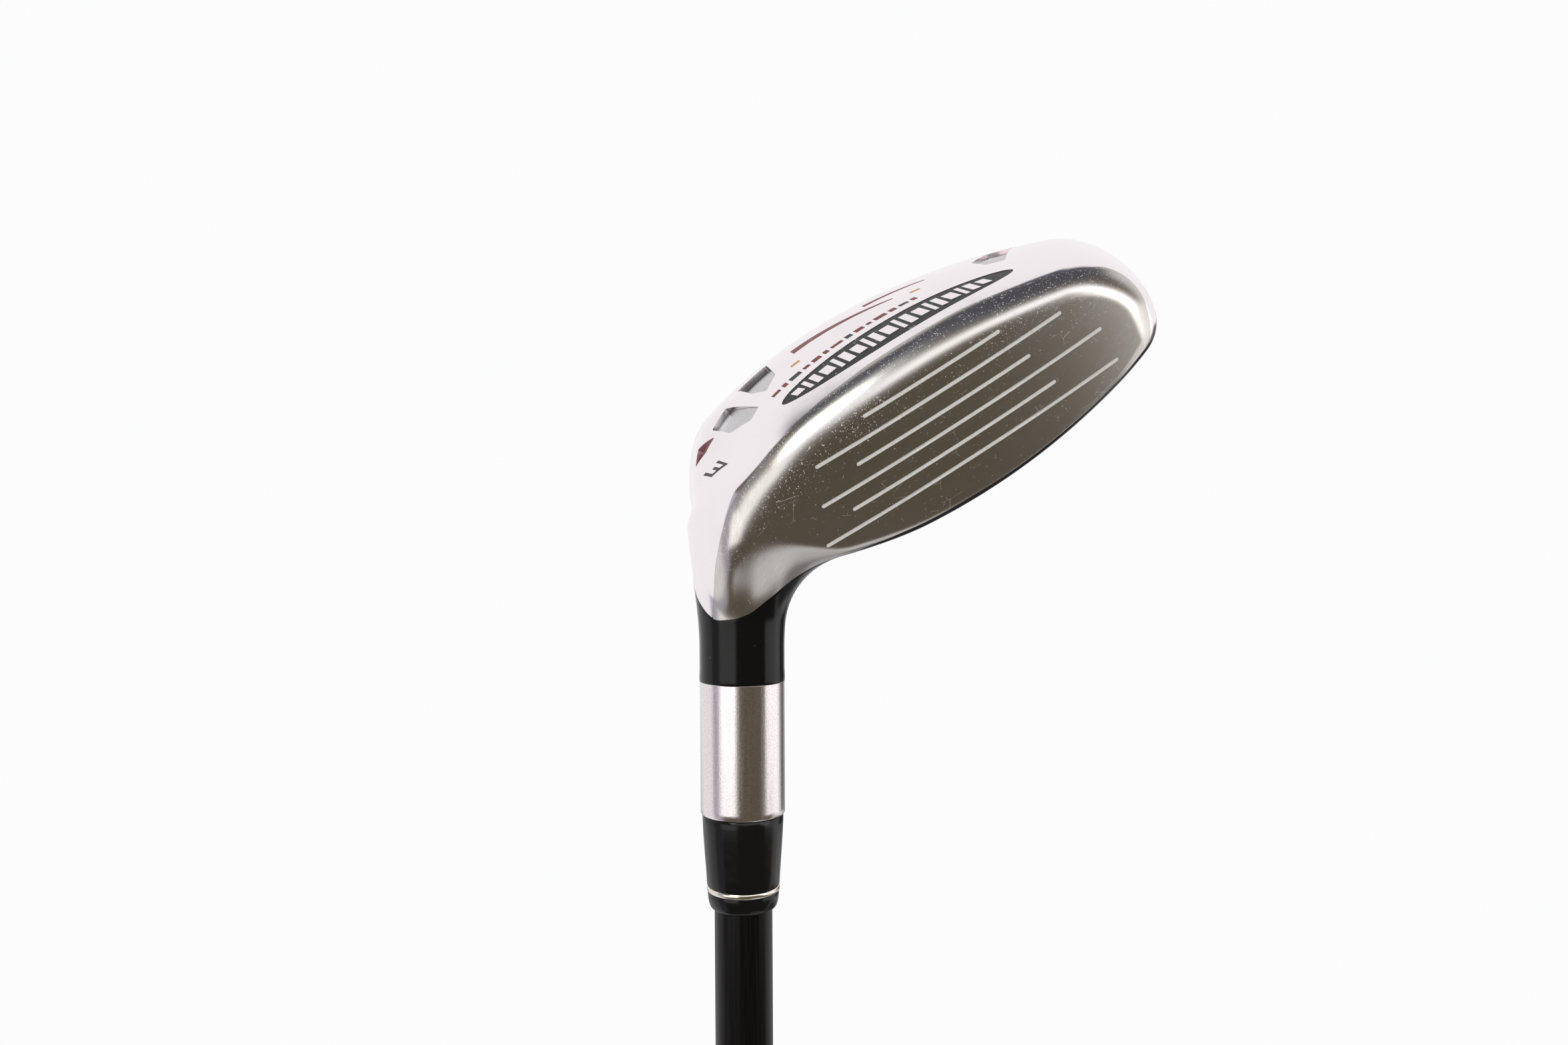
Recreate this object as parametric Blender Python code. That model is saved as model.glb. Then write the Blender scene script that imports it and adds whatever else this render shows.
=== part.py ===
"""Fairway wood, right-handed, built as separate sub-parts.

Row frame: +Z runs up the shaft from the grip butt (origin) to the head, -Y is the way the face
looks, +X is towards the toe. Lengths in the constants are millimetres; objects are in metres.
The head is one smooth implicit body, sampled in polar angles about a centre on the shaft axis and
split along its seams into the painted body, the face plate and the sole plate.
"""
import math

import bmesh
import bpy
import numpy as np

# ---- club ----
HOSEL_END = 1030.0          # height of the hosel's open end above the butt
LIE = math.radians(58.25)
LOFT = math.radians(15.2)
GAP = 0.3                   # gap between head pieces
CLEAR = 0.1                 # clearance round inlays, ferrule and shaft
# ---- head, in head axes: x to the toe, y out of the face, z away from the ground ----
LINE_CENTRE = (56.09, 13.42, -35.15)   # middle of the score lines from the hosel end
BULGE_R, ROLL_R = 247.0, 254.0
EDGE_R = 3.2                # leading edge rounding
SOLE_LOW = -21.1            # lowest point of the sole below the line centre
CENTRE_Z = 46.0             # polar centre on the shaft axis, from the hosel end
HOSEL_R, HEEL_R = 6.4, 8.25
NECK_END = 48.5             # how far the neck runs into the head, from the hosel end
HEEL_START, HEEL_SWEEP = -17.0, 0.011     # where the sole starts to sweep up, and how sharply
CROWN_RISE, CROWN_BOW = 0.12, 0.0024     # slope of the crown behind the face, and its dome
WALL_BOW = 0.018            # how sharply the heel side draws in towards the face
BORE_R, BORE_DEPTH = 4.85, 27.0
BODY_WALL, FACE_WALL, SOLE_WALL = 0.9, 2.0, 1.5
# ---- seams, (azimuth, polar angle) in degrees about the polar centre ----
PAINT_SEAM = (
    (-180, 31), (-170, 28), (-160, 26), (-145, 23.5), (-130, 22.2), (-108, 22.6), (-87, 24.4),
    (-63, 30.5), (-50, 36.8), (-38, 47.3), (-34, 55), (-32, 62.5), (-29.6, 71.2), (-24, 80.6),
    (-19.5, 87.4), (-16.8, 92.4), (-14, 97.5), (-12.2, 101.4), (-10.6, 105.1), (-9.3, 108.6),
    (-7.8, 111.5), (-4, 113.6), (0, 114.3), (10, 114.4), (20, 113.6), (36, 109.2), (45, 105),
    (55, 99.5), (65, 93.5), (75, 86), (85, 76), (95, 66), (110, 58), (130, 54), (150, 50),
    (165, 42), (173, 35.5), (180, 31),
)
EDGE_SEAM = (
    (-133.6, 22.2), (-127.7, 33.4), (-116.8, 58.2), (-111.4, 75.3), (-103, 95.9), (-89.7, 113.8),
    (-74.7, 125.7), (-59.1, 132.5), (-47.6, 134.6), (-39.7, 134.6), (-32.4, 133.6),
    (-27.5, 132.4), (-22.9, 131), (-20, 129.5), (-17.2, 127.7), (-15, 126.1), (-13.2, 124.8),
    (-10.8, 123.2), (-9.8, 121.5), (-9.1, 118.5), (-8.6, 115.5), (-8.2, 113), (-7.8, 111.5),
)
LENS = (-133.6, -7.8)       # the face plate's azimuth range
COLUMNS = (46, 36)          # mesh columns across the face plate and round the rest
# ---- score lines: half length, offset to the toe, from the sole upwards ----
LINE_PITCH, LINE_W, LINE_DEEP = 2.82, 0.56, 0.35
SCORE_LINES = ((11.75, -0.1), (21.3, 0.1), (15.05, -0.8), (24.7, 1.6), (17.8, -1.6), (26.05, 0.8))
# ---- sole recesses, (x, y) outlines in head axes ----
SOLE_PADS = (
    ("pad_heel_1", ((-22, -7), (-16.2, -6.7), (-16.9, 0.4), (-19.6, 2.4), (-21.3, -0.7)), "grey"),
    ("pad_heel_2", ((-28.9, -4.1), (-25.3, -5.1), (-22.1, 3.9), (-24.2, 4.4), (-27.4, 1.5)), "grey"),
    ("pad_heel_3", ((-34.1, -4.2), (-32.3, -5.6), (-29.4, -2.1), (-31.8, -2.2)), "red"),
    ("pad_toe", ((18.6, -0.9), (23, -5.3), (27.8, -6.4), (22, 3.2), (19.2, 2.7)), "grey"),
)
PAD_TOP, PAD_DEEP = 0.3, 0.6
NUMERAL = ((-32.3, 2.8), (0.69, 0.72), (0.2, 0.98))      # centre, along the spine, across it
NUMERAL_SHAPE = ((-2, 1.6), (-2, -1.6), (-1.45, -1.6), (-1.45, 1.1), (-0.3, 1.1), (-0.3, -0.5),
                 (0.3, -0.5), (0.3, 1.1), (1.45, 1.1), (1.45, -1.6), (2, -1.6), (2, 1.6))
# ---- ferrule, shaft and grip ----
BARREL_LEN, RING_LEN, COLLAR_LEN = 10.95, 0.8, 2.55
SHAFT_TIP_R, SHAFT_BUTT_R, SHAFT_WALL = 4.4, 7.62, 1.1
TIP_PARALLEL = 110.0
GRIP_LEN, GRIP_MOUTH_R, GRIP_BUTT_R = 270.0, 9.2, 13.4
CAP_LEN, VENT_R, TAPE_WALL = 4.0, 1.3, 0.25

TOE = np.array([math.sin(LIE), 0.0, math.cos(LIE)])
UP = np.array([math.cos(LIE), 0.0, -math.sin(LIE)])
OUT = np.array([0.0, -1.0, 0.0])
CENTRE = np.array([0.0, 0.0, CENTRE_Z])


# ---------------------------------------------------------------- head field
def head_axes(p):
    """Head coordinates about the line centre's column, with y measured from the shaft axis."""
    return p @ TOE - LINE_CENTRE[0], p @ OUT, p @ UP - LINE_CENTRE[2]


def from_head(x, y, z):
    return (np.multiply.outer(np.asarray(x) + LINE_CENTRE[0], TOE) + np.multiply.outer(y, OUT)
            + np.multiply.outer(np.asarray(z) + LINE_CENTRE[2], UP))


def ease(low, high, t):
    t = np.clip((t - low) / (high - low), 0, 1)
    return t * t * (3 - 2 * t)


def round_cut(a, b, r):
    """Intersection of two solids with a fillet of radius r on the edge."""
    return np.minimum(-r, np.maximum(a, b)) + np.hypot(np.maximum(r + a, 0), np.maximum(r + b, 0))


def soft_join(a, b, k):
    h = np.clip(0.5 + 0.5 * (b - a) / k, 0, 1)
    return b * (1 - h) + a * h - k * h * (1 - h)


def face_field(x, y, z):
    out = (y - LINE_CENTRE[1]) * math.cos(LOFT) + z * math.sin(LOFT)
    rise = z * math.cos(LOFT) - (y - LINE_CENTRE[1]) * math.sin(LOFT)
    return out + x * x / (2 * BULGE_R) + rise * rise / (2 * ROLL_R)


def sole_field(x, y, z):
    """Cambered, rockered sole that sweeps up at the heel."""
    rocker = np.where(x > -6, 106.0, 76.0)
    camber = np.where(y > -11, 0.0135 + 0.0025 * ease(-12, 22, -x), 0.0045)
    sweep = HEEL_SWEEP * ease(-12, 4, y)
    heel = np.maximum(HEEL_START - x, 0)
    low = SOLE_LOW + (x + 6) ** 2 / (2 * rocker) + camber * (y + 11) ** 2 + sweep * heel ** 2
    slope = (x + 6) / rocker - 2 * sweep * heel
    return (low - z) / np.hypot(1, np.hypot(slope, 2 * camber * (y + 11)))


def plan_field(x, y, z):
    """Outline seen from above: an ellipse a side, squarer at the front of the heel."""
    a = np.where(x > 0, 43.5, 37.8 + 8.0 * ease(-16, 6, y))
    b = np.where(y > -20, 53.0 + 40.0 * ease(6, 26, -x), 38.0)
    q = np.sqrt((x / a) ** 2 + ((y + 20) / b) ** 2 + 1e-9)
    slope = np.hypot(x / a ** 2, (y + 20) / b ** 2) / q
    return (q - 1) / np.maximum(slope, 1e-3) + 0.013 * np.maximum(z + 2, 0) ** 2


def wall_field(p, y, neck_r):
    """Heel side of the head, in line with the neck and drawn in towards the face."""
    ahead = np.maximum(y, 0)
    return (0.1 - p[..., 0] - neck_r + WALL_BOW * ahead ** 2) / np.hypot(1, 2 * WALL_BOW * ahead)


def crown_field(x, y, z):
    """Low dome that rises behind the face."""
    back = 10 - y
    top = 12.5 - 0.0046 * (x - 1) ** 2 + CROWN_RISE * back - CROWN_BOW * back * back
    top = top - 1.0 * ease(10, 30, -x)
    slope = np.hypot(0.0092 * (x - 1), CROWN_RISE - 2 * CROWN_BOW * back)
    return (z - top) / np.hypot(1, slope)


def head_field(p):
    """Signed distance, roughly in millimetres, negative inside the head and hosel."""
    x, y, z = head_axes(p)
    face, sole = face_field(x, y, z), sole_field(x, y, z)
    plan, crown = plan_field(x, y, z), crown_field(x, y, z)
    neck_r = HOSEL_R + (HEEL_R - HOSEL_R) * ease(25, 47, p[..., 2])
    neck = round_cut(np.hypot(p[..., 0], p[..., 1]) - neck_r, p[..., 2] - NECK_END, 6)
    skirt_r = 11 - 2.8 * ease(-10, 25, x) - 5 * ease(20, 30, -x) * ease(-10, 5, y)
    skirt = round_cut(round_cut(plan, sole, skirt_r), wall_field(p, y, neck_r), 4)
    crown_r = 1.0 + 2.6 * (1 - ease(-10, -1, face)) + 1.5 * ease(-8, 0, plan) + 5 * ease(22, 34, -x)
    body = round_cut(round_cut(face, skirt, EDGE_R), crown, crown_r)
    return soft_join(body, neck, 1.5 + 6.5 * ease(-8, -2, p[..., 0]))


def on_surface(polar, azimuth, depth=0.0):
    """The head's surface, or the one depth under it, met from the centre at these angles."""
    aim = np.stack([np.sin(polar) * np.cos(azimuth), np.sin(polar) * np.sin(azimuth),
                    -np.cos(polar) + 0 * azimuth], -1)
    low, high = np.full(aim.shape[:-1], 1.0), np.full(aim.shape[:-1], 101.0)
    found = np.zeros(low.shape, bool)
    for r in np.arange(3.0, 101.0, 2.0):
        new = ~found & (head_field(CENTRE + aim * r) > -depth)
        low, high, found = np.where(new, r - 2, low), np.where(new, r, high), found | new
    for _ in range(26):
        mid = (low + high) / 2
        inside = head_field(CENTRE + aim * mid[..., None]) < -depth
        low, high = np.where(inside, mid, low), np.where(inside, high, mid)
    return CENTRE + aim * low[..., None]


def seam_at(knots, azimuth):
    """Shape-preserving cubic through the seam's knots."""
    x, y = np.radians(np.array(knots, float)).T
    h, step = np.diff(x), np.diff(y) / np.diff(x)
    same = step[:-1] * step[1:] > 0
    slope = np.where(same, 2 * step[:-1] * step[1:] / np.where(same, step[:-1] + step[1:], 1), 0)
    slope = np.concatenate([[step[0]], slope, [step[-1]]])
    i = np.clip(np.searchsorted(x, azimuth) - 1, 0, len(h) - 1)
    t = np.clip((azimuth - x[i]) / h[i], 0, 1)
    return ((1 + 2 * t) * (1 - t) ** 2 * y[i] + t * (1 - t) ** 2 * h[i] * slope[i]
            + t * t * (3 - 2 * t) * y[i + 1] + t * t * (t - 1) * h[i] * slope[i + 1])


def half_gap(knots, azimuth):
    """Half the seam gap as a polar angle, wider where the seam runs steeply."""
    polar = seam_at(knots, azimuth)
    slope = (seam_at(knots, azimuth + 0.004) - seam_at(knots, azimuth - 0.004)) / 0.008
    reach = np.linalg.norm(on_surface(polar, azimuth) - CENTRE, axis=-1)
    return GAP / 2 / reach * np.hypot(1, np.minimum(np.abs(slope) / np.sin(polar), 4))


def spread_columns(first, last, count, seams):
    """Azimuths from first to last, evenly spaced by the length of the seams they cross."""
    dense = np.radians(np.linspace(first, last, 600))
    run = sum(np.linalg.norm(np.diff(on_surface(seam_at(s, dense), dense), axis=0), axis=1)
              for s in seams)
    along = np.concatenate([[0], np.cumsum(run + HEEL_R * (dense[1] - dense[0]))])
    return np.interp(np.linspace(0, along[-1], count), along, dense)


def head_columns():
    front = spread_columns(*LENS, COLUMNS[0], (PAINT_SEAM, EDGE_SEAM))
    side = spread_columns(LENS[1], 180, COLUMNS[1], (PAINT_SEAM,))[1:]
    heel = spread_columns(-180, LENS[0], 9, (PAINT_SEAM,))[1:-1]
    return front, np.concatenate([side, heel])


def even_rows(start, stop, azimuth, rows, depth):
    """Points from polar angle start to stop down each column, evenly spaced along the surface."""
    t = np.linspace(0, 1, 60)[:, None]
    dense = start + (stop - start) * t
    points = on_surface(dense, azimuth + 0 * dense, depth)
    run = np.linalg.norm(np.diff(points, axis=0), axis=2)
    along = np.concatenate([0 * run[:1], np.cumsum(run, axis=0)])
    even = [np.interp(np.linspace(0, along[-1, j], rows), along[:, j], dense[:, j])
            for j in range(len(azimuth))]
    even = np.array(even).T
    return on_surface(even, azimuth + 0 * even, depth)


# ---------------------------------------------------------------- mesh helpers
def material(name, colour, metallic, roughness):
    made = bpy.data.materials.new(name)
    made.use_nodes = True
    shader = made.node_tree.nodes["Principled BSDF"]
    shader.inputs["Base Color"].default_value = (*colour, 1)
    shader.inputs["Metallic"].default_value = metallic
    shader.inputs["Roughness"].default_value = roughness
    return made


def add_object(name, points, faces, look, lift=HOSEL_END):
    """One closed mesh from millimetre points measured from the hosel end."""
    data = bpy.data.meshes.new(name)
    points = (np.asarray(points) + (0, 0, lift)) * 0.001
    data.from_pydata([tuple(p) for p in points], [], [tuple(int(i) for i in f) for f in faces])
    work = bmesh.new()
    work.from_mesh(data)
    bmesh.ops.recalc_face_normals(work, faces=work.faces[:])
    if work.calc_volume(signed=True) < 0:
        bmesh.ops.reverse_faces(work, faces=work.faces[:])
    work.to_mesh(data)
    work.free()
    data.polygons.foreach_set("use_smooth", [True] * len(data.polygons))
    data.set_sharp_from_angle(angle=math.radians(35))
    if look is not None:
        data.materials.append(look)
    made = bpy.data.objects.new(name, data)
    bpy.context.scene.collection.objects.link(made)
    return made


def quads(rows, columns, first, closed):
    """Quad faces of a grid of points laid out row by row from index first."""
    span = columns if closed else columns - 1
    return [(first + i * columns + j, first + i * columns + (j + 1) % columns,
             first + (i + 1) * columns + (j + 1) % columns, first + (i + 1) * columns + j)
            for i in range(rows - 1) for j in range(span)]


def ring_of(points, faces, row_a, row_b, closed=True):
    """Joins two rows of point indices with quads."""
    count = len(row_a)
    for j in range(count if closed else count - 1):
        k = (j + 1) % count
        faces.append((row_a[j], row_a[k], row_b[k], row_b[j]))


def tube_shell(name, outer, inner, look):
    """A closed wall between two grids that both run round the axis."""
    rows, columns = outer.shape[:2]
    inner_rows = inner.shape[0]
    points = np.concatenate([outer.reshape(-1, 3), inner.reshape(-1, 3)])
    faces = quads(rows, columns, 0, True) + quads(inner_rows, columns, rows * columns, True)
    index = np.arange(len(points))
    ring_of(points, faces, index[:columns], index[rows * columns:][:columns])
    last = index[(rows - 1) * columns:rows * columns]
    ring_of(points, faces, last, index[-columns:])
    return add_object(name, points, faces, look)


def bowl_shell(name, outer, inner, look):
    """A closed wall between two grids whose last row is a single pole."""
    columns = outer.shape[1]
    points, faces, rims = [], [], []
    for grid in (outer, inner):
        first = sum(len(p) for p in points)
        points.append(np.concatenate([grid[:-1].reshape(-1, 3), grid[-1, :1]]))
        rows = grid.shape[0] - 1
        faces += quads(rows, columns, first, True)
        pole, last = first + rows * columns, first + (rows - 1) * columns
        faces += [(last + j, last + (j + 1) % columns, pole) for j in range(columns)]
        rims.append(np.arange(first, first + columns))
    points = np.concatenate(points)
    ring_of(points, faces, *rims)
    return add_object(name, points, faces, look)


def patch_shell(name, outer, inner, look, lift=HOSEL_END):
    """A closed slab between two open grids of the same size."""
    rows, columns = outer.shape[:2]
    points = np.concatenate([outer.reshape(-1, 3), inner.reshape(-1, 3)])
    faces = quads(rows, columns, 0, False) + quads(rows, columns, rows * columns, False)
    edge = ([(0, j) for j in range(columns)] + [(i, columns - 1) for i in range(1, rows)]
            + [(rows - 1, j) for j in range(columns - 2, -1, -1)]
            + [(i, 0) for i in range(rows - 2, 0, -1)])
    near = [i * columns + j for i, j in edge]
    ring_of(points, faces, near, [k + rows * columns for k in near])
    return add_object(name, points, faces, look, lift)


def lathe(name, profile, look, segments=40, lift=HOSEL_END):
    """A closed ring of (radius, z) points turned about the shaft axis."""
    angle = np.linspace(0, 2 * math.pi, segments, endpoint=False)
    profile = np.array(profile, float)
    points = np.stack([np.outer(profile[:, 0], np.cos(angle)),
                       np.outer(profile[:, 0], np.sin(angle)),
                       np.outer(profile[:, 1], np.ones(segments))], -1)
    faces = quads(len(profile), segments, 0, True)
    ring_of(points, faces, np.arange(segments), np.arange(segments) + (len(profile) - 1) * segments)
    return add_object(name, points.reshape(-1, 3), faces, look, lift)


# ---------------------------------------------------------------- inlays
def drop_on(kind, a, b, depth):
    """Points on the face (a to the toe, b up the face) or sole (a to the toe, b forward)."""
    low = np.full(np.shape(a), 0.0)
    if kind == "face":
        base = from_head(a, LINE_CENTRE[1] - b * math.sin(LOFT), b * math.cos(LOFT))
        aim = OUT * math.cos(LOFT) + UP * math.sin(LOFT)
        low, high = low - 12.0, low + 6.0
    else:
        base = from_head(a, b, 0 * np.asarray(a) + SOLE_LOW)
        aim = -UP
        low, high = low - 16.0, low + 6.0
    for _ in range(30):
        mid = (low + high) / 2
        inside = head_field(base + mid[..., None] * aim) < 0
        low, high = np.where(inside, mid, low), np.where(inside, high, mid)
    surface = base + low[..., None] * aim
    step = 0.02 * np.eye(3)
    normal = np.stack([head_field(surface + s) - head_field(surface - s) for s in step], -1)
    normal /= np.linalg.norm(normal, axis=-1, keepdims=True)
    return surface - normal * depth


def inlay(name, kind, outline, top, bottom, look, rings=3):
    """A thin pad that follows the surface inside a star-shaped outline."""
    outline = np.array(outline, float)
    middle = outline.mean(axis=0)
    share = np.linspace(1, 0, rings + 1)[:-1, None, None]
    grid = middle + (outline - middle) * share
    both = []
    for depth in (top, bottom):
        cap = drop_on(kind, grid[..., 0], grid[..., 1], depth)
        tip = drop_on(kind, middle[:1], middle[1:], depth)
        both.append(np.concatenate([cap, np.repeat(tip[None], cap.shape[1], axis=1)]))
    return bowl_shell(name, *both, look)


def numeral_pad(name, outline, top, bottom, look):
    """A thin slab whose outline need not be star-shaped."""
    outline = np.array(outline, float)
    count = len(outline)
    points = np.concatenate([drop_on("sole", outline[:, 0], outline[:, 1], d)
                             for d in (top, bottom)])
    faces = [tuple(range(count)), tuple(range(2 * count - 1, count - 1, -1))]
    ring_of(points, faces, np.arange(count), np.arange(count, 2 * count))
    return add_object(name, points, faces, look)


def grown(outline, by):
    """The outline with each side moved outwards by this much."""
    p = np.array(outline, float)
    ahead = np.roll(p, -1, axis=0)
    turn = np.sign(np.sum(p[:, 0] * ahead[:, 1] - ahead[:, 0] * p[:, 1]))
    side = ahead - p
    after = np.stack([side[:, 1], -side[:, 0]], 1) * turn
    after /= np.linalg.norm(after, axis=1, keepdims=True)
    before = np.roll(after, 1, axis=0)
    share = 1 + np.sum(after * before, axis=1, keepdims=True)
    return p + (after + before) / np.maximum(share, 0.3) * by


def stadium(half, width, centre, b, steps=4):
    """A slot outline with round ends, 2*half long."""
    r = width / 2
    turn = np.linspace(-math.pi / 2, math.pi / 2, steps + 1)
    right = [(centre + half - r + r * math.cos(t), b + r * math.sin(t)) for t in turn]
    left = [(centre - half + r - r * math.cos(t), b - r * math.sin(t)) for t in turn]
    top = [(centre + (half - r) * s, b + r) for s in (0.5, 0, -0.5)]
    low = [(centre - (half - r) * s, b - r) for s in (0.5, 0, -0.5)]
    return right + top + left + low


def cut(target, cutter):
    cutter.hide_render = True
    cutter.display_type = "WIRE"
    boolean = target.modifiers.new("cut_" + cutter.name, "BOOLEAN")
    boolean.operation, boolean.solver, boolean.object = "DIFFERENCE", "EXACT", cutter


def sunk_inlay(target, name, kind, outline, deep, look, rings=3, top=0.02):
    """An inlay in a pocket of its own, CLEAR all round."""
    inlay(name, kind, outline, top, deep, look, rings)
    cutter = inlay("cutter_" + name, kind, grown(outline, CLEAR), -1.0, deep + CLEAR, None, rings)
    cut(target, cutter)


# ---------------------------------------------------------------- sub-parts
def build_head(paint, satin, polish):
    front, rest = head_columns()
    around = np.concatenate([front, rest])
    paint_polar, paint_gap = seam_at(PAINT_SEAM, around), half_gap(PAINT_SEAM, around)

    neck_z = np.array([0.0, 8.0, 16.0, 20.1])
    start = math.atan2(HOSEL_R, CENTRE_Z - 22.0)
    neck = np.stack([np.stack([HOSEL_R * np.cos(around), HOSEL_R * np.sin(around),
                               z + 0 * around], -1) for z in neck_z])
    outer = even_rows(start + 0 * around, paint_polar - paint_gap, around, 12, 0)
    bore = np.stack([np.stack([BORE_R * np.cos(around), BORE_R * np.sin(around),
                               z + 0 * around], -1) for z in (0.0, BORE_DEPTH)])
    mouth = math.atan2(BORE_R, CENTRE_Z - BORE_DEPTH - 1.2)
    stop = np.maximum(paint_polar - paint_gap, mouth + 0.06)
    lining = even_rows(mouth + 0 * around, stop, around, 8, BODY_WALL)
    lining[-1] = on_surface(paint_polar - paint_gap, around, BODY_WALL)
    tube_shell("head_body", np.concatenate([neck, outer]), np.concatenate([bore, lining]), paint)

    inside = front[1:-1]
    top = seam_at(PAINT_SEAM, inside) + half_gap(PAINT_SEAM, inside)
    low = seam_at(EDGE_SEAM, inside) - half_gap(EDGE_SEAM, inside)
    keep = low - top > 0.03
    inside, top, low = inside[keep], top[keep], low[keep]
    wall = 1.2 + (FACE_WALL - 1.2) * ease(14, 34, np.linalg.norm(
        on_surface(top, inside) - CENTRE, axis=-1))
    outer = even_rows(top, low, inside, 9, 0)
    inner = even_rows(top, low, inside, 9, wall[None, :])
    face = patch_shell("face_plate", outer, inner, satin)

    edge_polar = np.where((around >= front[0]) & (around <= front[-1]),
                          seam_at(EDGE_SEAM, around), paint_polar)
    edge_gap = np.where((around > front[0]) & (around < front[-1]),
                        half_gap(EDGE_SEAM, around), paint_gap)
    rim = edge_polar + edge_gap
    outer = even_rows(rim, math.pi + 0 * around, around, 15, 0)
    inner = even_rows(rim, math.pi + 0 * around, around, 9, SOLE_WALL)
    sole = bowl_shell("sole_plate", outer, inner, polish)
    return face, sole


def build_face_lines(face, white):
    for i, (half, shift) in enumerate(SCORE_LINES):
        outline = stadium(half, LINE_W, shift, (i - 2.5) * LINE_PITCH)
        sunk_inlay(face, f"score_line_{i + 1}", "face", outline, LINE_DEEP, white, rings=1)


def build_lower_end(black, silver, epoxy_look, shaft_look):
    inner = SHAFT_TIP_R + CLEAR
    barrel_low = -BARREL_LEN
    lathe("ferrule_barrel", [(inner, -0.1), (6.15, -0.1), (6.1, -2), (5.95, -5), (5.6, -9),
                             (5.52, barrel_low), (inner, barrel_low)], black)
    ring_low = barrel_low - CLEAR - RING_LEN
    lathe("ferrule_ring", [(inner, ring_low), (5.5, ring_low), (5.56, ring_low + RING_LEN / 2),
                           (5.5, barrel_low - CLEAR), (inner, barrel_low - CLEAR)], silver)
    collar_top = ring_low - CLEAR
    collar_low = collar_top - COLLAR_LEN
    lathe("ferrule_collar", [(inner, collar_low), (4.75, collar_low), (5.1, collar_low + 0.5),
                             (5.4, collar_low + 1.5), (5.45, collar_top), (inner, collar_top)], black)
    lathe("epoxy_bond", [(SHAFT_TIP_R + 0.1, 1.0), (BORE_R - 0.1, 1.0), (BORE_R - 0.1, 26.0),
                         (SHAFT_TIP_R + 0.1, 26.0)], epoxy_look)

    tip, butt = BORE_DEPTH - 1.0, -(HOSEL_END - CAP_LEN - 0.4)
    taper = tip - TIP_PARALLEL
    steps = np.linspace(0, 1, 9)
    outside = [(SHAFT_TIP_R, tip)] + [
        (SHAFT_TIP_R + (SHAFT_BUTT_R - SHAFT_TIP_R) * t, taper + (butt - taper) * t) for t in steps]
    bored = [(r - SHAFT_WALL, z) for r, z in reversed(outside)]
    lathe("shaft", outside + bored, shaft_look)
    return outside


def shaft_radius(outside, z):
    radii, heights = np.array(outside)[::-1].T
    return float(np.interp(z, heights, radii))


def build_grip(outside, rubber, cap_look, tape_look):
    """Slip-on grip: rings of shallow grooves on a straight taper, over a layer of tape."""
    butt = -HOSEL_END
    mouth = butt + GRIP_LEN
    start = butt + CAP_LEN + 0.4

    def wall(z, extra):
        return shaft_radius(outside, z) + extra

    spots = np.linspace(start, mouth - 4, 8)
    tape_out = [(wall(z, CLEAR + TAPE_WALL), z) for z in spots]
    tape_in = [(wall(z, CLEAR), z) for z in reversed(spots)]
    lathe("grip_tape", tape_out + tape_in, tape_look, segments=32)

    skin = [(wall(start, 0) + 0.8, start), (GRIP_BUTT_R - 0.4, start), (GRIP_BUTT_R, start + 0.6)]
    bands = 12
    for i in range(bands):
        z = start + 12 + (GRIP_LEN - 50) * i / bands
        r = GRIP_BUTT_R + (GRIP_MOUTH_R - GRIP_BUTT_R) * (z - start) / (mouth - start)
        skin += [(r, z), (r - 0.35, z + 0.5), (r - 0.35, z + 1.5), (r - 0.05, z + 2.0)]
    skin += [(GRIP_MOUTH_R + 0.25, mouth - 10), (GRIP_MOUTH_R, mouth - 1.2),
             (GRIP_MOUTH_R - 0.6, mouth)]
    lining = [(wall(z, 2 * CLEAR + TAPE_WALL), z) for z in np.linspace(mouth, start, 8)]
    lathe("grip", skin[1:] + lining, rubber, segments=28)

    lathe("grip_cap", [(VENT_R, butt), (GRIP_BUTT_R - 1.2, butt), (GRIP_BUTT_R - 0.35, butt + 0.5),
                       (GRIP_BUTT_R, butt + 1.6), (GRIP_BUTT_R, butt + CAP_LEN),
                       (VENT_R, butt + CAP_LEN)], cap_look, segments=28)


def build_sole_marks(sole, dark, grey, red):
    """Inlays in the sole: one long plain strip, four recess pads and the club's numeral."""
    def ellipse(cx, cy, a, b, bow, count=28):
        turn = np.linspace(0, 2 * math.pi, count, endpoint=False)
        x = cx + a * np.cos(turn)
        return [(px, cy + b * math.sin(t) - bow * (px - cx) ** 2) for px, t in zip(x, turn)]

    sunk_inlay(sole, "sole_strip", "sole", ellipse(0.5, 9.0, 20, 2.5, 0.003), 0.4, dark, 2)
    for name, outline, look in SOLE_PADS:
        sunk_inlay(sole, name, "sole", outline, PAD_DEEP, {"grey": grey, "red": red}[look], 1,
                   PAD_TOP)

    centre, along, across = (np.array(v) for v in NUMERAL)
    outline = [centre + u * along + v * across for u, v in NUMERAL_SHAPE]
    numeral_pad("sole_numeral", outline, 0.02, 0.3, dark)
    cut(sole, numeral_pad("cutter_numeral", grown(outline, CLEAR), -0.8, 0.3 + CLEAR, None))


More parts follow.
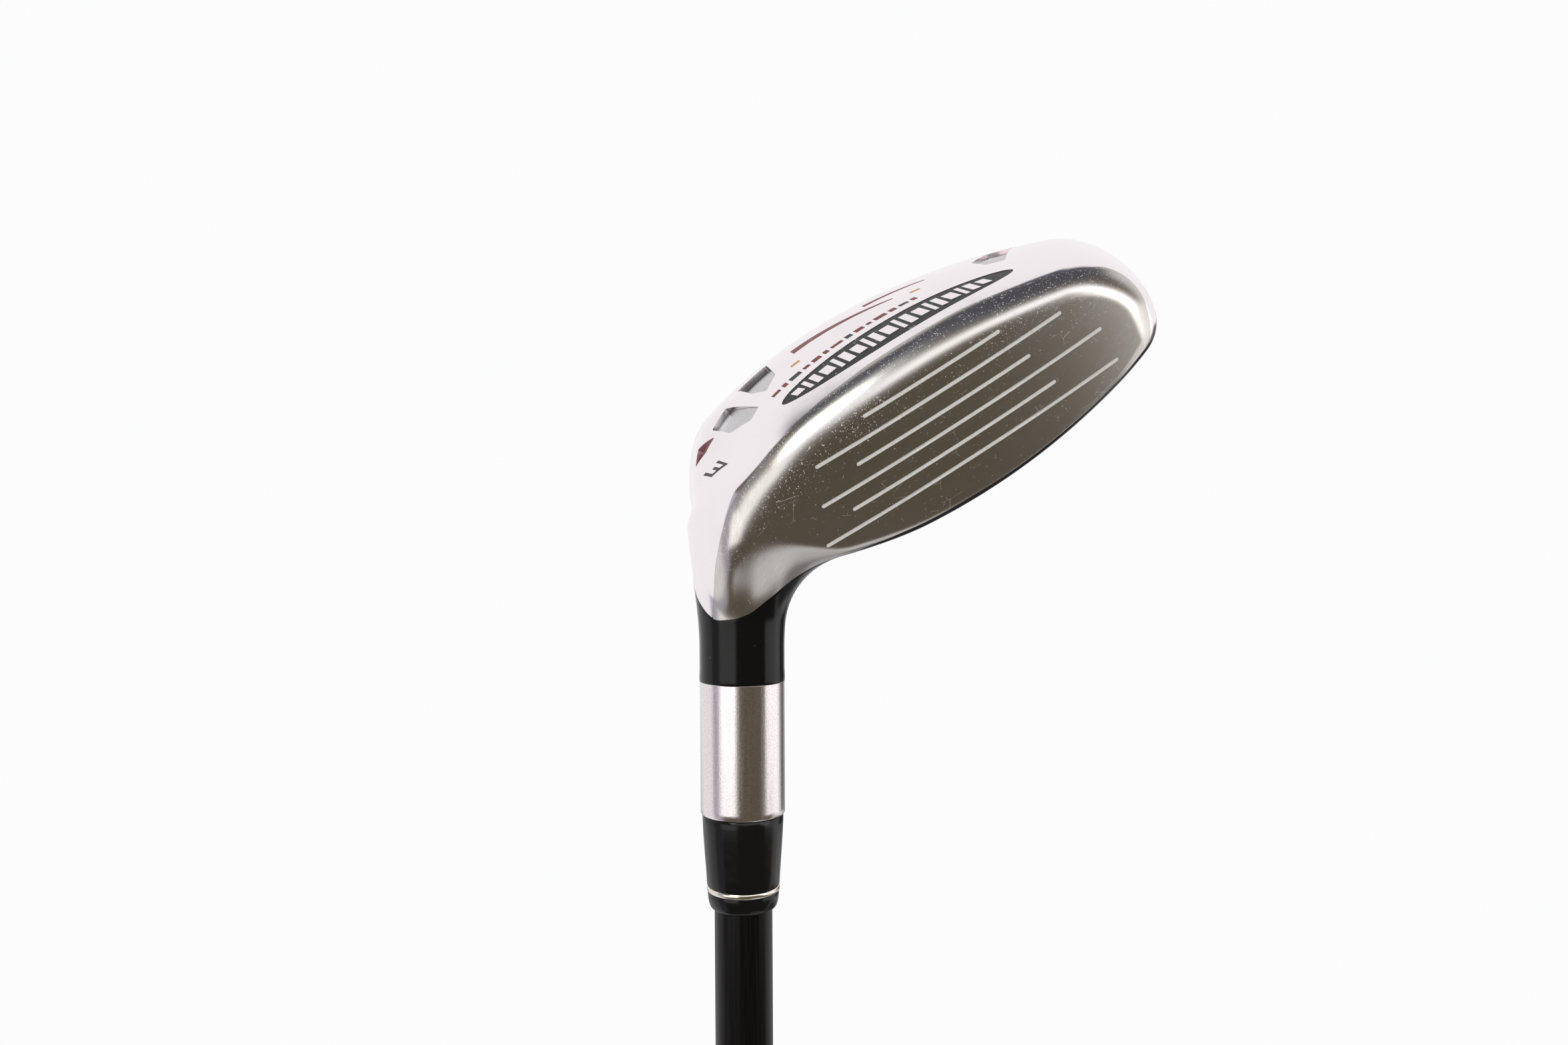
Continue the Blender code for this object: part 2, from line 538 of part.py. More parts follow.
def main():
    for old in list(bpy.data.objects):
        bpy.data.objects.remove(old, do_unlink=True)
    paint = material("black_paint", (0.012, 0.012, 0.014), 0.0, 0.12)
    satin = material("satin_steel", (0.36, 0.34, 0.30), 1.0, 0.35)
    polish = material("polished_steel", (0.80, 0.77, 0.75), 1.0, 0.12)
    white = material("white_fill", (0.88, 0.88, 0.84), 0.0, 0.5)
    dark = material("dark_fill", (0.05, 0.05, 0.055), 0.0, 0.4)
    grey = material("grey_fill", (0.42, 0.43, 0.44), 0.6, 0.45)
    red = material("red_fill", (0.35, 0.05, 0.05), 0.0, 0.4)
    black = material("black_plastic", (0.015, 0.015, 0.017), 0.0, 0.2)
    silver = material("silver_ring", (0.72, 0.68, 0.60), 1.0, 0.25)
    glue = material("epoxy", (0.75, 0.70, 0.55), 0.0, 0.4)
    graphite = material("shaft_lacquer", (0.014, 0.014, 0.016), 0.0, 0.1)
    rubber = material("grip_rubber", (0.025, 0.025, 0.025), 0.0, 0.75)
    cap_look = material("grip_cap_rubber", (0.03, 0.03, 0.03), 0.0, 0.6)
    tape = material("tape_paper", (0.72, 0.68, 0.58), 0.0, 0.8)

    face, sole = build_head(paint, satin, polish)
    build_face_lines(face, white)
    build_sole_marks(sole, dark, grey, red)
    outside = build_lower_end(black, silver, glue, graphite)
    build_grip(outside, rubber, cap_look, tape)


main()
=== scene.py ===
"""Fairway wood: finished surfaces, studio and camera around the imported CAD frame."""

import math

import bmesh
import bpy
import numpy as np
from mathutils import Matrix, Vector


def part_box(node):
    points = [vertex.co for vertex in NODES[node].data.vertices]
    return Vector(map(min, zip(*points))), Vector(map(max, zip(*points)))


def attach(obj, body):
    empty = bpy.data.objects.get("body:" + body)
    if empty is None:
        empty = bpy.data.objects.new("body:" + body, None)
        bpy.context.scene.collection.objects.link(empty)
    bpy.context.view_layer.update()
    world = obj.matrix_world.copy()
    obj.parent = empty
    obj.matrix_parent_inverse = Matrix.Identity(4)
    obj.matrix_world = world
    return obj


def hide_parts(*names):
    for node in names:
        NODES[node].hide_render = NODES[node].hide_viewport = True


# ---- head, in head axes: x to the toe, y out of the face, z away from the ground ----
LINE_CENTRE = (56.09, 13.42, -35.15)  # middle of the score lines from the hosel end
BULGE_R, ROLL_R = 247.0, 254.0
EDGE_R = 3.2  # leading edge rounding
SOLE_LOW = -21.1  # lowest point of the sole below the line centre
CENTRE_Z = 46.0  # polar centre on the shaft axis, from the hosel end
HOSEL_R, HEEL_R = 6.4, 8.25
NECK_START, NECK_END = 22.0, 48.5  # the painted neck, from the hosel end
HEEL_START, HEEL_SWEEP = -17.0, 0.011  # where the sole starts to sweep up, and how sharply
CROWN_RISE, CROWN_BOW = 0.12, 0.0024  # slope of the crown behind the face, and its dome
WALL_BOW = 0.018  # how sharply the heel side draws in towards the face
BORE_R, BORE_DEPTH = 4.85, 27.0
BODY_WALL, FACE_WALL, SOLE_WALL = 0.9, 2.0, 1.5
HEEL_WALL = 1.2  # the face plate's wall beside the hosel
# ---- seams, (azimuth, polar angle) in degrees about the polar centre ----
PAINT_SEAM = (
    (-180, 31), (-170, 28), (-160, 26), (-145, 23.5), (-130, 22.2), (-108, 22.6), (-87, 24.4),
    (-63, 30.5), (-50, 36.8), (-38, 47.3), (-34, 55), (-32, 62.5), (-29.6, 71.2), (-24, 80.6),
    (-19.5, 87.4), (-16.8, 92.4), (-14, 97.5), (-12.2, 101.4), (-10.6, 105.1), (-9.3, 108.6),
    (-7.8, 111.5), (-4, 113.6), (0, 114.3), (10, 114.4), (20, 113.6), (36, 109.2), (45, 105),
    (55, 99.5), (65, 93.5), (75, 86), (85, 76), (95, 66), (110, 58), (130, 54), (150, 50),
    (165, 42), (173, 35.5), (180, 31),
)
EDGE_SEAM = (
    (-137.4, 22.8), (-129.4, 33.4), (-116.8, 58.2), (-111.4, 75.3), (-103, 95.9), (-89.7, 113.8),
    (-74.7, 125.7), (-59.1, 132.5), (-47.6, 134.6), (-39.7, 134.6), (-32.4, 133.6),
    (-27.5, 132.4), (-22.9, 131), (-20, 129.5), (-17.2, 127.7), (-15, 126.1), (-13.2, 124.8),
    (-10.8, 123.2), (-9.8, 121.5), (-9.1, 118.5), (-8.6, 115.5), (-8.2, 113), (-7.8, 111.5),
)
LENS = (-137.4, -7.8)  # the face plate's azimuth range
COLUMNS = (250, 150, 40)  # columns across the face, behind it and at the heel
SHELL_ROWS, FACE_ROWS, SOLE_ROWS, LINING_ROWS = 120, 80, 130, 40
# ---- score lines: half length, offset to the toe, from the sole upwards ----
LINE_PITCH, LINE_W, LINE_DEEP = 2.82, 0.56, 0.35
SCORE_LINES = ((11.75, -0.1), (21.3, 0.1), (15.05, -0.8), (24.7, 1.6), (17.8, -1.6), (26.05, 0.8))
# ---- sole recesses, (x, y) outlines in head axes ----
SOLE_PADS = (
    ("pad_heel_1", ((-22, -7), (-16.2, -6.7), (-16.9, 0.4), (-19.6, 2.4), (-21.3, -0.7)), "grey"),
    ("pad_heel_2", ((-28.9, -4.1), (-25.3, -5.1), (-22.1, 3.9), (-24.2, 4.4), (-27.4, 1.5)), "grey"),
    ("pad_heel_3", ((-34.1, -4.2), (-32.3, -5.6), (-29.4, -2.1), (-31.8, -2.2)), "red"),
    ("pad_toe", ((18.6, -0.9), (23, -5.3), (27.8, -6.4), (22, 3.2), (19.2, 2.7)), "grey"),
)
NUMERAL = ((-32.3, 2.8), (0.69, 0.72), (0.2, 0.98))  # centre, along the spine, across it
NUMERAL_SHAPE = ((-2, 1.6), (-2, -1.6), (-1.45, -1.6), (-1.45, 1.1), (-0.3, 1.1), (-0.3, -0.5),
                 (0.3, -0.5), (0.3, 1.1), (1.45, 1.1), (1.45, -1.6), (2, -1.6), (2, 1.6))
GAP = 0.02  # visible seam between head pieces
LIE = math.radians(58.25)
LOFT = math.radians(15.2)
PAINT_LINE = 20.1  # where the bare hosel ends and the paint starts
PAINT_STEP = 0.06  # how far the paint stands out from the metal
SHARP_EDGE = 35  # degrees
# ---- marks on the sole ----
STRIP_X, STRIP_Y = 0.5, 9.0  # middle of the dark strip
STRIP_HALF = (20, 2.5)
STRIP_BARS = (1.5, 0.7, 1.1, 1.7, 0.7, 1.3)  # widths, repeated along the strip
BAR_COUNT, BAR_START, BAR_GAP, BAR_SLANT = 19, -17.4, 0.62, 0.3
BAR_TALL = (1.1, 1.55, 1.4)  # half heights at the middle, repeated
SOLE_DASHES = (1.5, 0.8, 2.0, 1.1)  # lengths, repeated along the line
DASH_COUNT, DASH_START, DASH_GAP, DASH_Y = 14, -19.8, 0.6, 4.9
SOLE_TICKS = (-14.5, 7.0)
# each: start x, start y, length, rise, half width
SOLE_STREAKS = ((-12.4, -2.6, 17, 3.3, 0.9), (1.0, -3.2, 10, 1.6, 0.5))
PAINT_SKIN = (-0.03, 0.06)  # top and bottom of thin paint, below the sole
PAD_DROP = 0.8  # how much deeper a pad's floor is at its rear wall
POCKET_SIDE, POCKET_TOP = 0.03, -0.6  # clearance round a fill, and where a cut starts
# ---- ferrule, shaft and grip ----
FERRULE_BORE = 4.5
BARREL_TOP, RING_TOP, COLLAR_TOP = -0.06, -10.96, -11.83  # from the hosel end
SHAFT_TIP_R, TIP_PARALLEL, SHAFT_WALL = 4.4, 110.0, 1.1
GRIP_MOUTH_R, TAPE_THICK = 9.2, 0.45
GROOVE_PITCH, GROOVE_DEEP = 4.2, 0.42
VENT_R = 1.3
# ---- studio ----
FLOOR_R, FLOOR_Z = 0.5, -0.0005  # metres
CAMERA_ANGLES = (8.87, 2.0, 0.28)  # turn to the toe, tip down and roll, degrees
CAMERA_PLACE = (-23.4, -191.7, 50.6)  # from the hosel end, mm
CAMERA_LENS = 29.47
BACKDROP = (0.975, 0.975, 0.98)
ROOM = (0.11, 0.09, 0.062)
# patches of light, later over earlier: azimuth from -Y towards +X, elevation, softness, colour
STUDIO = (
    ((95, 300), (-95, 95), 12, (0.95, 0.93, 0.94)),
    ((-300, -95), (-95, 95), 4, (0.95, 0.93, 0.94)),
    ((135, 300), (-95, -10), 14, (0.5, 0.5, 0.52)),
    ((-300, -155), (-95, -20), 14, (0.5, 0.5, 0.52)),
    ((118, 142), (-14, 4), 5, (0.12, 0.11, 0.12)),
    ((-180, 180), (74, 95), 6, (0.09, 0.09, 0.12)),
    ((-110, 110), (50, 95), 8, (0.09, 0.09, 0.12)),
    ((-40, -4), (20, 32), 9, (1.15, 1.15, 1.2)),
    ((-4, 50), (20, 29), 7, (2.0, 2.0, 2.05)),
    ((-92, -70), (-45, 30), 4, (0.45, 0.42, 0.50)),
    ((-66, -28), (-14, 9), 9, (1.6, 1.56, 1.56)),
    ((62, 100), (-14, 12), 8, (1.3, 1.28, 1.28)),
    ((32, 88), (-68, -52), 7, (0.85, 0.84, 0.86)),
    ((100, 140), (-66, -30), 8, (0.22, 0.20, 0.19)),
)
# each: name, place, what it is aimed at, size, power
LIGHTS = (
    ("key_soft_box", (-0.9, -1.2, 2.1), (0.02, 0, 1.05), 0.7, 9.0),
    ("fill_soft_box", (1.3, -0.8, 1.4), (0.02, 0, 0.9), 0.8, 3.0),
)

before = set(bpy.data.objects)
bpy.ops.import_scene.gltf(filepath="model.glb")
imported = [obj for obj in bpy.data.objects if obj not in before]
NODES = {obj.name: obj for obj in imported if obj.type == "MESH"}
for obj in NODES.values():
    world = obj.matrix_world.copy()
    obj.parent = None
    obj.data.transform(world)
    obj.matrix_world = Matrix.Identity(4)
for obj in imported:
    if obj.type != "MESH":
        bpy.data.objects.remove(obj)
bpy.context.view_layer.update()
HOSEL_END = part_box("head_body")[0][2] * 1000  # height of the hosel's open end, mm

TOE = np.array([math.sin(LIE), 0.0, math.cos(LIE)])
UP = np.array([math.cos(LIE), 0.0, -math.sin(LIE)])
OUT = np.array([0.0, -1.0, 0.0])
CENTRE = np.array([0.0, 0.0, CENTRE_Z])


# ---- head field
def head_axes(p):
    """Head coordinates about the line centre's column, with y measured from the shaft axis."""
    return p @ TOE - LINE_CENTRE[0], p @ OUT, p @ UP - LINE_CENTRE[2]


def from_head(x, y, z):
    return (np.multiply.outer(np.asarray(x) + LINE_CENTRE[0], TOE) + np.multiply.outer(y, OUT)
            + np.multiply.outer(np.asarray(z) + LINE_CENTRE[2], UP))


def ease(low, high, t):
    t = np.clip((t - low) / (high - low), 0, 1)
    return t * t * (3 - 2 * t)


def round_cut(a, b, r):
    """Intersection of two solids with a fillet of radius r on the edge."""
    return np.minimum(-r, np.maximum(a, b)) + np.hypot(np.maximum(r + a, 0), np.maximum(r + b, 0))


def soft_join(a, b, k):
    h = np.clip(0.5 + 0.5 * (b - a) / k, 0, 1)
    return b * (1 - h) + a * h - k * h * (1 - h)


def face_field(x, y, z):
    out = (y - LINE_CENTRE[1]) * math.cos(LOFT) + z * math.sin(LOFT)
    rise = z * math.cos(LOFT) - (y - LINE_CENTRE[1]) * math.sin(LOFT)
    return out + x * x / (2 * BULGE_R) + rise * rise / (2 * ROLL_R)


def sole_field(x, y, z):
    """Cambered, rockered sole that sweeps up at the heel."""
    rocker = np.where(x > -6, 106.0, 76.0)
    camber = np.where(y > -11, 0.0135 + 0.0025 * ease(-12, 22, -x), 0.0045)
    sweep = HEEL_SWEEP * ease(-12, 4, y)
    heel = np.maximum(HEEL_START - x, 0)
    low = SOLE_LOW + (x + 6) ** 2 / (2 * rocker) + camber * (y + 11) ** 2 + sweep * heel ** 2
    slope = (x + 6) / rocker - 2 * sweep * heel
    return (low - z) / np.hypot(1, np.hypot(slope, 2 * camber * (y + 11)))


def plan_field(x, y, z):
    """Outline seen from above: an ellipse a side, squarer at the front of the heel."""
    a = np.where(x > 0, 43.5, 37.8 + 8.0 * ease(-16, 6, y))
    b = np.where(y > -20, 53.0 + 40.0 * ease(6, 26, -x), 38.0)
    q = np.sqrt((x / a) ** 2 + ((y + 20) / b) ** 2 + 1e-9)
    slope = np.hypot(x / a ** 2, (y + 20) / b ** 2) / q
    return (q - 1) / np.maximum(slope, 1e-3) + 0.013 * np.maximum(z + 2, 0) ** 2


def wall_field(p, y, neck_r):
    """Heel side of the head, in line with the neck and drawn in towards the face."""
    ahead = np.maximum(y, 0)
    return (0.1 - p[..., 0] - neck_r + WALL_BOW * ahead ** 2) / np.hypot(1, 2 * WALL_BOW * ahead)


def crown_field(x, y, z):
    """Low dome that rises behind the face."""
    back = 10 - y
    top = 12.5 - 0.0046 * (x - 1) ** 2 + CROWN_RISE * back - CROWN_BOW * back * back
    top = top - 1.0 * ease(10, 30, -x)
    slope = np.hypot(0.0092 * (x - 1), CROWN_RISE - 2 * CROWN_BOW * back)
    return (z - top) / np.hypot(1, slope)


def head_field(p):
    """Signed distance, roughly in millimetres, negative inside the head and hosel."""
    x, y, z = head_axes(p)
    face, sole = face_field(x, y, z), sole_field(x, y, z)
    plan, crown = plan_field(x, y, z), crown_field(x, y, z)
    neck_r = HOSEL_R + (HEEL_R - HOSEL_R) * ease(25, 47, p[..., 2])
    neck = round_cut(np.hypot(p[..., 0], p[..., 1]) - neck_r, p[..., 2] - NECK_END, 6)
    skirt_r = 11 - 2.8 * ease(-10, 25, x) - 5 * ease(20, 30, -x) * ease(-10, 5, y)
    skirt = round_cut(round_cut(plan, sole, skirt_r), wall_field(p, y, neck_r), 4)
    crown_r = 1.0 + 2.6 * (1 - ease(-10, -1, face)) + 1.5 * ease(-8, 0, plan) + 5 * ease(22, 34, -x)
    body = round_cut(round_cut(face, skirt, EDGE_R), crown, crown_r)
    return soft_join(body, neck, 1.5 + 6.5 * ease(-8, -2, p[..., 0]))


def on_surface(polar, azimuth, depth=0.0):
    """The head's surface, or the one depth under it, met from the centre at these angles."""
    aim = np.stack([np.sin(polar) * np.cos(azimuth), np.sin(polar) * np.sin(azimuth),
                    -np.cos(polar) + 0 * azimuth], -1)
    low, high = np.full(aim.shape[:-1], 1.0), np.full(aim.shape[:-1], 101.0)
    found = np.zeros(low.shape, bool)
    for r in np.arange(3.0, 101.0, 2.0):
        new = ~found & (head_field(CENTRE + aim * r) > -depth)
        low, high, found = np.where(new, r - 2, low), np.where(new, r, high), found | new
    for _ in range(26):
        mid = (low + high) / 2
        inside = head_field(CENTRE + aim * mid[..., None]) < -depth
        low, high = np.where(inside, mid, low), np.where(inside, high, mid)
    return CENTRE + aim * low[..., None]


def seam_at(knots, azimuth):
    """Shape-preserving cubic through the seam's knots."""
    x, y = np.radians(np.array(knots, float)).T
    h, step = np.diff(x), np.diff(y) / np.diff(x)
    same = step[:-1] * step[1:] > 0
    slope = np.where(same, 2 * step[:-1] * step[1:] / np.where(same, step[:-1] + step[1:], 1), 0)
    slope = np.concatenate([[step[0]], slope, [step[-1]]])
    i = np.clip(np.searchsorted(x, azimuth) - 1, 0, len(h) - 1)
    t = np.clip((azimuth - x[i]) / h[i], 0, 1)
    return ((1 + 2 * t) * (1 - t) ** 2 * y[i] + t * (1 - t) ** 2 * h[i] * slope[i]
            + t * t * (3 - 2 * t) * y[i + 1] + t * t * (t - 1) * h[i] * slope[i + 1])


def half_gap(knots, azimuth):
    """Half the seam gap as a polar angle, wider where the seam runs steeply."""
    polar = seam_at(knots, azimuth)
    slope = (seam_at(knots, azimuth + 0.004) - seam_at(knots, azimuth - 0.004)) / 0.008
    reach = np.linalg.norm(on_surface(polar, azimuth) - CENTRE, axis=-1)
    return GAP / 2 / reach * np.hypot(1, np.minimum(np.abs(slope) / np.sin(polar), 4))


def spread_columns(first, last, count, seams):
    """Azimuths from first to last, evenly spaced by the length of the seams they cross."""
    dense = np.radians(np.linspace(first, last, 600))
    run = sum(np.linalg.norm(np.diff(on_surface(seam_at(s, dense), dense), axis=0), axis=1)
              for s in seams)
    along = np.concatenate([[0], np.cumsum(run + HEEL_R * (dense[1] - dense[0]))])
    return np.interp(np.linspace(0, along[-1], count), along, dense)


def head_columns():
    front = spread_columns(*LENS, COLUMNS[0], (PAINT_SEAM, EDGE_SEAM))
    side = spread_columns(LENS[1], 180, COLUMNS[1], (PAINT_SEAM,))[1:]
    heel = spread_columns(-180, LENS[0], COLUMNS[2], (PAINT_SEAM,))[1:-1]
    return front, np.concatenate([side, heel])


def even_rows(start, stop, azimuth, rows, depth):
    """Points from polar angle start to stop down each column, evenly spaced along the surface."""
    t = np.linspace(0, 1, 140)[:, None]
    dense = start + (stop - start) * t
    points = on_surface(dense, azimuth + 0 * dense, depth)
    run = np.linalg.norm(np.diff(points, axis=0), axis=2)
    along = np.concatenate([0 * run[:1], np.cumsum(run, axis=0)])
    even = [np.interp(np.linspace(0, along[-1, j], rows), along[:, j], dense[:, j])
            for j in range(len(azimuth))]
    even = np.array(even).T
    return on_surface(even, azimuth + 0 * even, depth)


# ---- mesh helpers
def quads(rows, columns, first, closed):
    """Quad faces of a grid of points laid out row by row from index first."""
    span = columns if closed else columns - 1
    return [(first + i * columns + j, first + i * columns + (j + 1) % columns,
             first + (i + 1) * columns + (j + 1) % columns, first + (i + 1) * columns + j)
            for i in range(rows - 1) for j in range(span)]


def ring_of(faces, row_a, row_b):
    """Joins two closed rows of point indices with quads."""
    for j in range(len(row_a)):
        k = (j + 1) % len(row_a)
        faces.append((row_a[j], row_a[k], row_b[k], row_b[j]))


def drop_on(kind, a, b, depth):
    """Points on the face (a to the toe, b up the face) or sole (a to the toe, b forward)."""
    low = np.full(np.shape(a), 0.0)
    if kind == "face":
        base = from_head(a, LINE_CENTRE[1] - b * math.sin(LOFT), b * math.cos(LOFT))
        aim = OUT * math.cos(LOFT) + UP * math.sin(LOFT)
        low, high = low - 12.0, low + 6.0
    else:
        base = from_head(a, b, 0 * np.asarray(a) + SOLE_LOW)
        aim = -UP
        low, high = low - 16.0, low + 6.0
    for _ in range(30):
        mid = (low + high) / 2
        inside = head_field(base + mid[..., None] * aim) < 0
        low, high = np.where(inside, mid, low), np.where(inside, high, mid)
    surface = base + low[..., None] * aim
    step = 0.02 * np.eye(3)
    normal = np.stack([head_field(surface + s) - head_field(surface - s) for s in step], -1)
    normal /= np.linalg.norm(normal, axis=-1, keepdims=True)
    return surface - normal * depth


def grown(outline, by):
    """The outline with each side moved outwards by this much."""
    p = np.array(outline, float)
    ahead = np.roll(p, -1, axis=0)
    turn = np.sign(np.sum(p[:, 0] * ahead[:, 1] - ahead[:, 0] * p[:, 1]))
    side = ahead - p
    after = np.stack([side[:, 1], -side[:, 0]], 1) * turn
    after /= np.linalg.norm(after, axis=1, keepdims=True)
    before = np.roll(after, 1, axis=0)
    share = 1 + np.sum(after * before, axis=1, keepdims=True)
    return p + (after + before) / np.maximum(share, 0.3) * by


def stadium(half, width, centre, b, steps):
    """A slot outline with round ends, 2*half long."""
    r = width / 2
    turn = np.linspace(-math.pi / 2, math.pi / 2, steps + 1)
    right = [(centre + half - r + r * math.cos(t), b + r * math.sin(t)) for t in turn]
    left = [(centre - half + r - r * math.cos(t), b - r * math.sin(t)) for t in turn]
    top = [(centre + (half - r) * s, b + r) for s in (0.5, 0, -0.5)]
    low = [(centre - (half - r) * s, b - r) for s in (0.5, 0, -0.5)]
    return right + top + left + low


def make_mesh(name, points, faces, sharp):
    """One smooth-shaded object from points in millimetres above the hosel end."""
    data = bpy.data.meshes.new(name)
    points = (np.asarray(points) + (0, 0, HOSEL_END)) * 0.001
    data.from_pydata(points.tolist(), [], [tuple(int(i) for i in f) for f in faces])
    work = bmesh.new()
    work.from_mesh(data)
    bmesh.ops.recalc_face_normals(work, faces=work.faces[:])
    if work.calc_volume(signed=True) < 0:
        bmesh.ops.reverse_faces(work, faces=work.faces[:])
    work.to_mesh(data)
    work.free()
    shade(data, sharp)
    made = bpy.data.objects.new(name, data)
    bpy.context.scene.collection.objects.link(made)
    return made


def shade(data, sharp):
    """Smooth shading, with edges sharper than this many degrees kept."""
    data.polygons.foreach_set("use_smooth", [True] * len(data.polygons))
    data.set_sharp_from_angle(angle=math.radians(sharp))


def add_piece(name, points, faces, look, stands_for=(), slot=None, sharp=SHARP_EDGE):
    """A mesh that rides on the club, in place of CAD nodes or beside them."""
    made = make_mesh(name, points, faces, sharp)
    made.data.materials.append(look)
    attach(made, "root")
    if stands_for:
        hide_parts(*stands_for)
    return made


def tube_mesh(outer, inner):
    rows, columns = outer.shape[:2]
    points = np.concatenate([outer.reshape(-1, 3), inner.reshape(-1, 3)])
    faces = quads(rows, columns, 0, True)
    faces += quads(inner.shape[0], columns, rows * columns, True)
    index = np.arange(len(points))
    ring_of(faces, index[:columns], index[rows * columns:][:columns])
    ring_of(faces, index[(rows - 1) * columns:rows * columns], index[-columns:])
    return points, faces


def bowl_mesh(outer, inner):
    columns = outer.shape[1]
    points, faces, rims = [], [], []
    for grid in (outer, inner):
        first = sum(len(p) for p in points)
        points.append(np.concatenate([grid[:-1].reshape(-1, 3), grid[-1, :1]]))
        rows = grid.shape[0] - 1
        faces += quads(rows, columns, first, True)
        pole, last = first + rows * columns, first + (rows - 1) * columns
        faces += [(last + j, last + (j + 1) % columns, pole) for j in range(columns)]
        rims.append(np.arange(first, first + columns))
    points = np.concatenate(points)
    ring_of(faces, *rims)
    return points, faces


def patch_mesh(outer, inner):
    rows, columns = outer.shape[:2]
    points = np.concatenate([outer.reshape(-1, 3), inner.reshape(-1, 3)])
    faces = quads(rows, columns, 0, False) + quads(rows, columns, rows * columns, False)
    edge = ([(0, j) for j in range(columns)] + [(i, columns - 1) for i in range(1, rows)]
            + [(rows - 1, j) for j in range(columns - 2, -1, -1)]
            + [(i, 0) for i in range(rows - 2, 0, -1)])
    near = [i * columns + j for i, j in edge]
    ring_of(faces, near, [k + rows * columns for k in near])
    return points, faces


def lathe_mesh(profile, segments=120):
    angle = np.linspace(0, 2 * math.pi, segments, endpoint=False)
    profile = np.array(profile, float)
    points = np.stack([np.outer(profile[:, 0], np.cos(angle)),
                       np.outer(profile[:, 0], np.sin(angle)),
                       np.outer(profile[:, 1], np.ones(segments))], -1)
    faces = quads(len(profile), segments, 0, True)
    ring_of(faces, np.arange(segments), np.arange(segments) + (len(profile) - 1) * segments)
    return points.reshape(-1, 3), faces


def depth_at(depth, spots):
    return depth(spots[..., 1])[..., None] if callable(depth) else depth


def inlay_mesh(kind, outline, top, bottom, rings):
    """A pad inside a star-shaped outline; a depth may be a function of the distance forward."""
    outline = np.array(outline, float)
    middle = outline.mean(axis=0)
    share = np.linspace(1, 0, rings + 1)[:-1, None, None]
    grid = middle + (outline - middle) * share
    both = []
    for depth in (top, bottom):
        cap = drop_on(kind, grid[..., 0], grid[..., 1], depth_at(depth, grid))
        tip = drop_on(kind, middle[:1], middle[1:], depth_at(depth, middle[None]))
        both.append(np.concatenate([cap, np.repeat(tip[None], cap.shape[1], axis=1)]))
    return bowl_mesh(*both)


def slab_mesh(kind, outline, top, bottom):
    """A slab whose outline need not be star-shaped; its caps are flat polygons."""
    outline = np.array(outline, float)
    count = len(outline)
    points = np.concatenate([drop_on(kind, outline[:, 0], outline[:, 1], d) for d in (top, bottom)])
    faces = [tuple(range(count)), tuple(range(2 * count - 1, count - 1, -1))]
    ring_of(faces, np.arange(count), np.arange(count, 2 * count))
    return points, faces


def dense_outline(outline, step):
    """The outline with points added along each side."""
    p = np.array(outline, float)
    out = []
    for a, b in zip(p, np.roll(p, -1, axis=0)):
        count = max(1, int(np.linalg.norm(b - a) / step))
        out += [a + (b - a) * i / count for i in range(count)]
    return np.array(out)


def rounded(outline, radius, steps=5):
    """The outline with each corner turned into a short arc."""
    p = np.array(outline, float)
    out = []
    for before, here, after in zip(np.roll(p, 1, axis=0), p, np.roll(p, -1, axis=0)):
        to_a, to_b = before - here, after - here
        a = here + to_a * min(0.45, radius / np.linalg.norm(to_a))
        b = here + to_b * min(0.45, radius / np.linalg.norm(to_b))
        for t in np.linspace(0, 1, steps):
            out.append((1 - t) ** 2 * a + 2 * t * (1 - t) * here + t * t * b)
    return np.array(out)


def carve(target, cutters):
    """Cuts pockets and keeps the finished mesh."""
    for points, faces in cutters:
        tool = make_mesh("pocket_tool", points, faces, SHARP_EDGE)
        boolean = target.modifiers.new("pocket", "BOOLEAN")
        boolean.operation, boolean.solver, boolean.object = "DIFFERENCE", "EXACT", tool
        graph = bpy.context.evaluated_depsgraph_get()
        cut = bpy.data.meshes.new_from_object(target.evaluated_get(graph))
        target.modifiers.clear()
        old, target.data = target.data, cut
        bpy.data.meshes.remove(old)
        bpy.data.objects.remove(tool, do_unlink=True)
    shade(target.data, SHARP_EDGE)


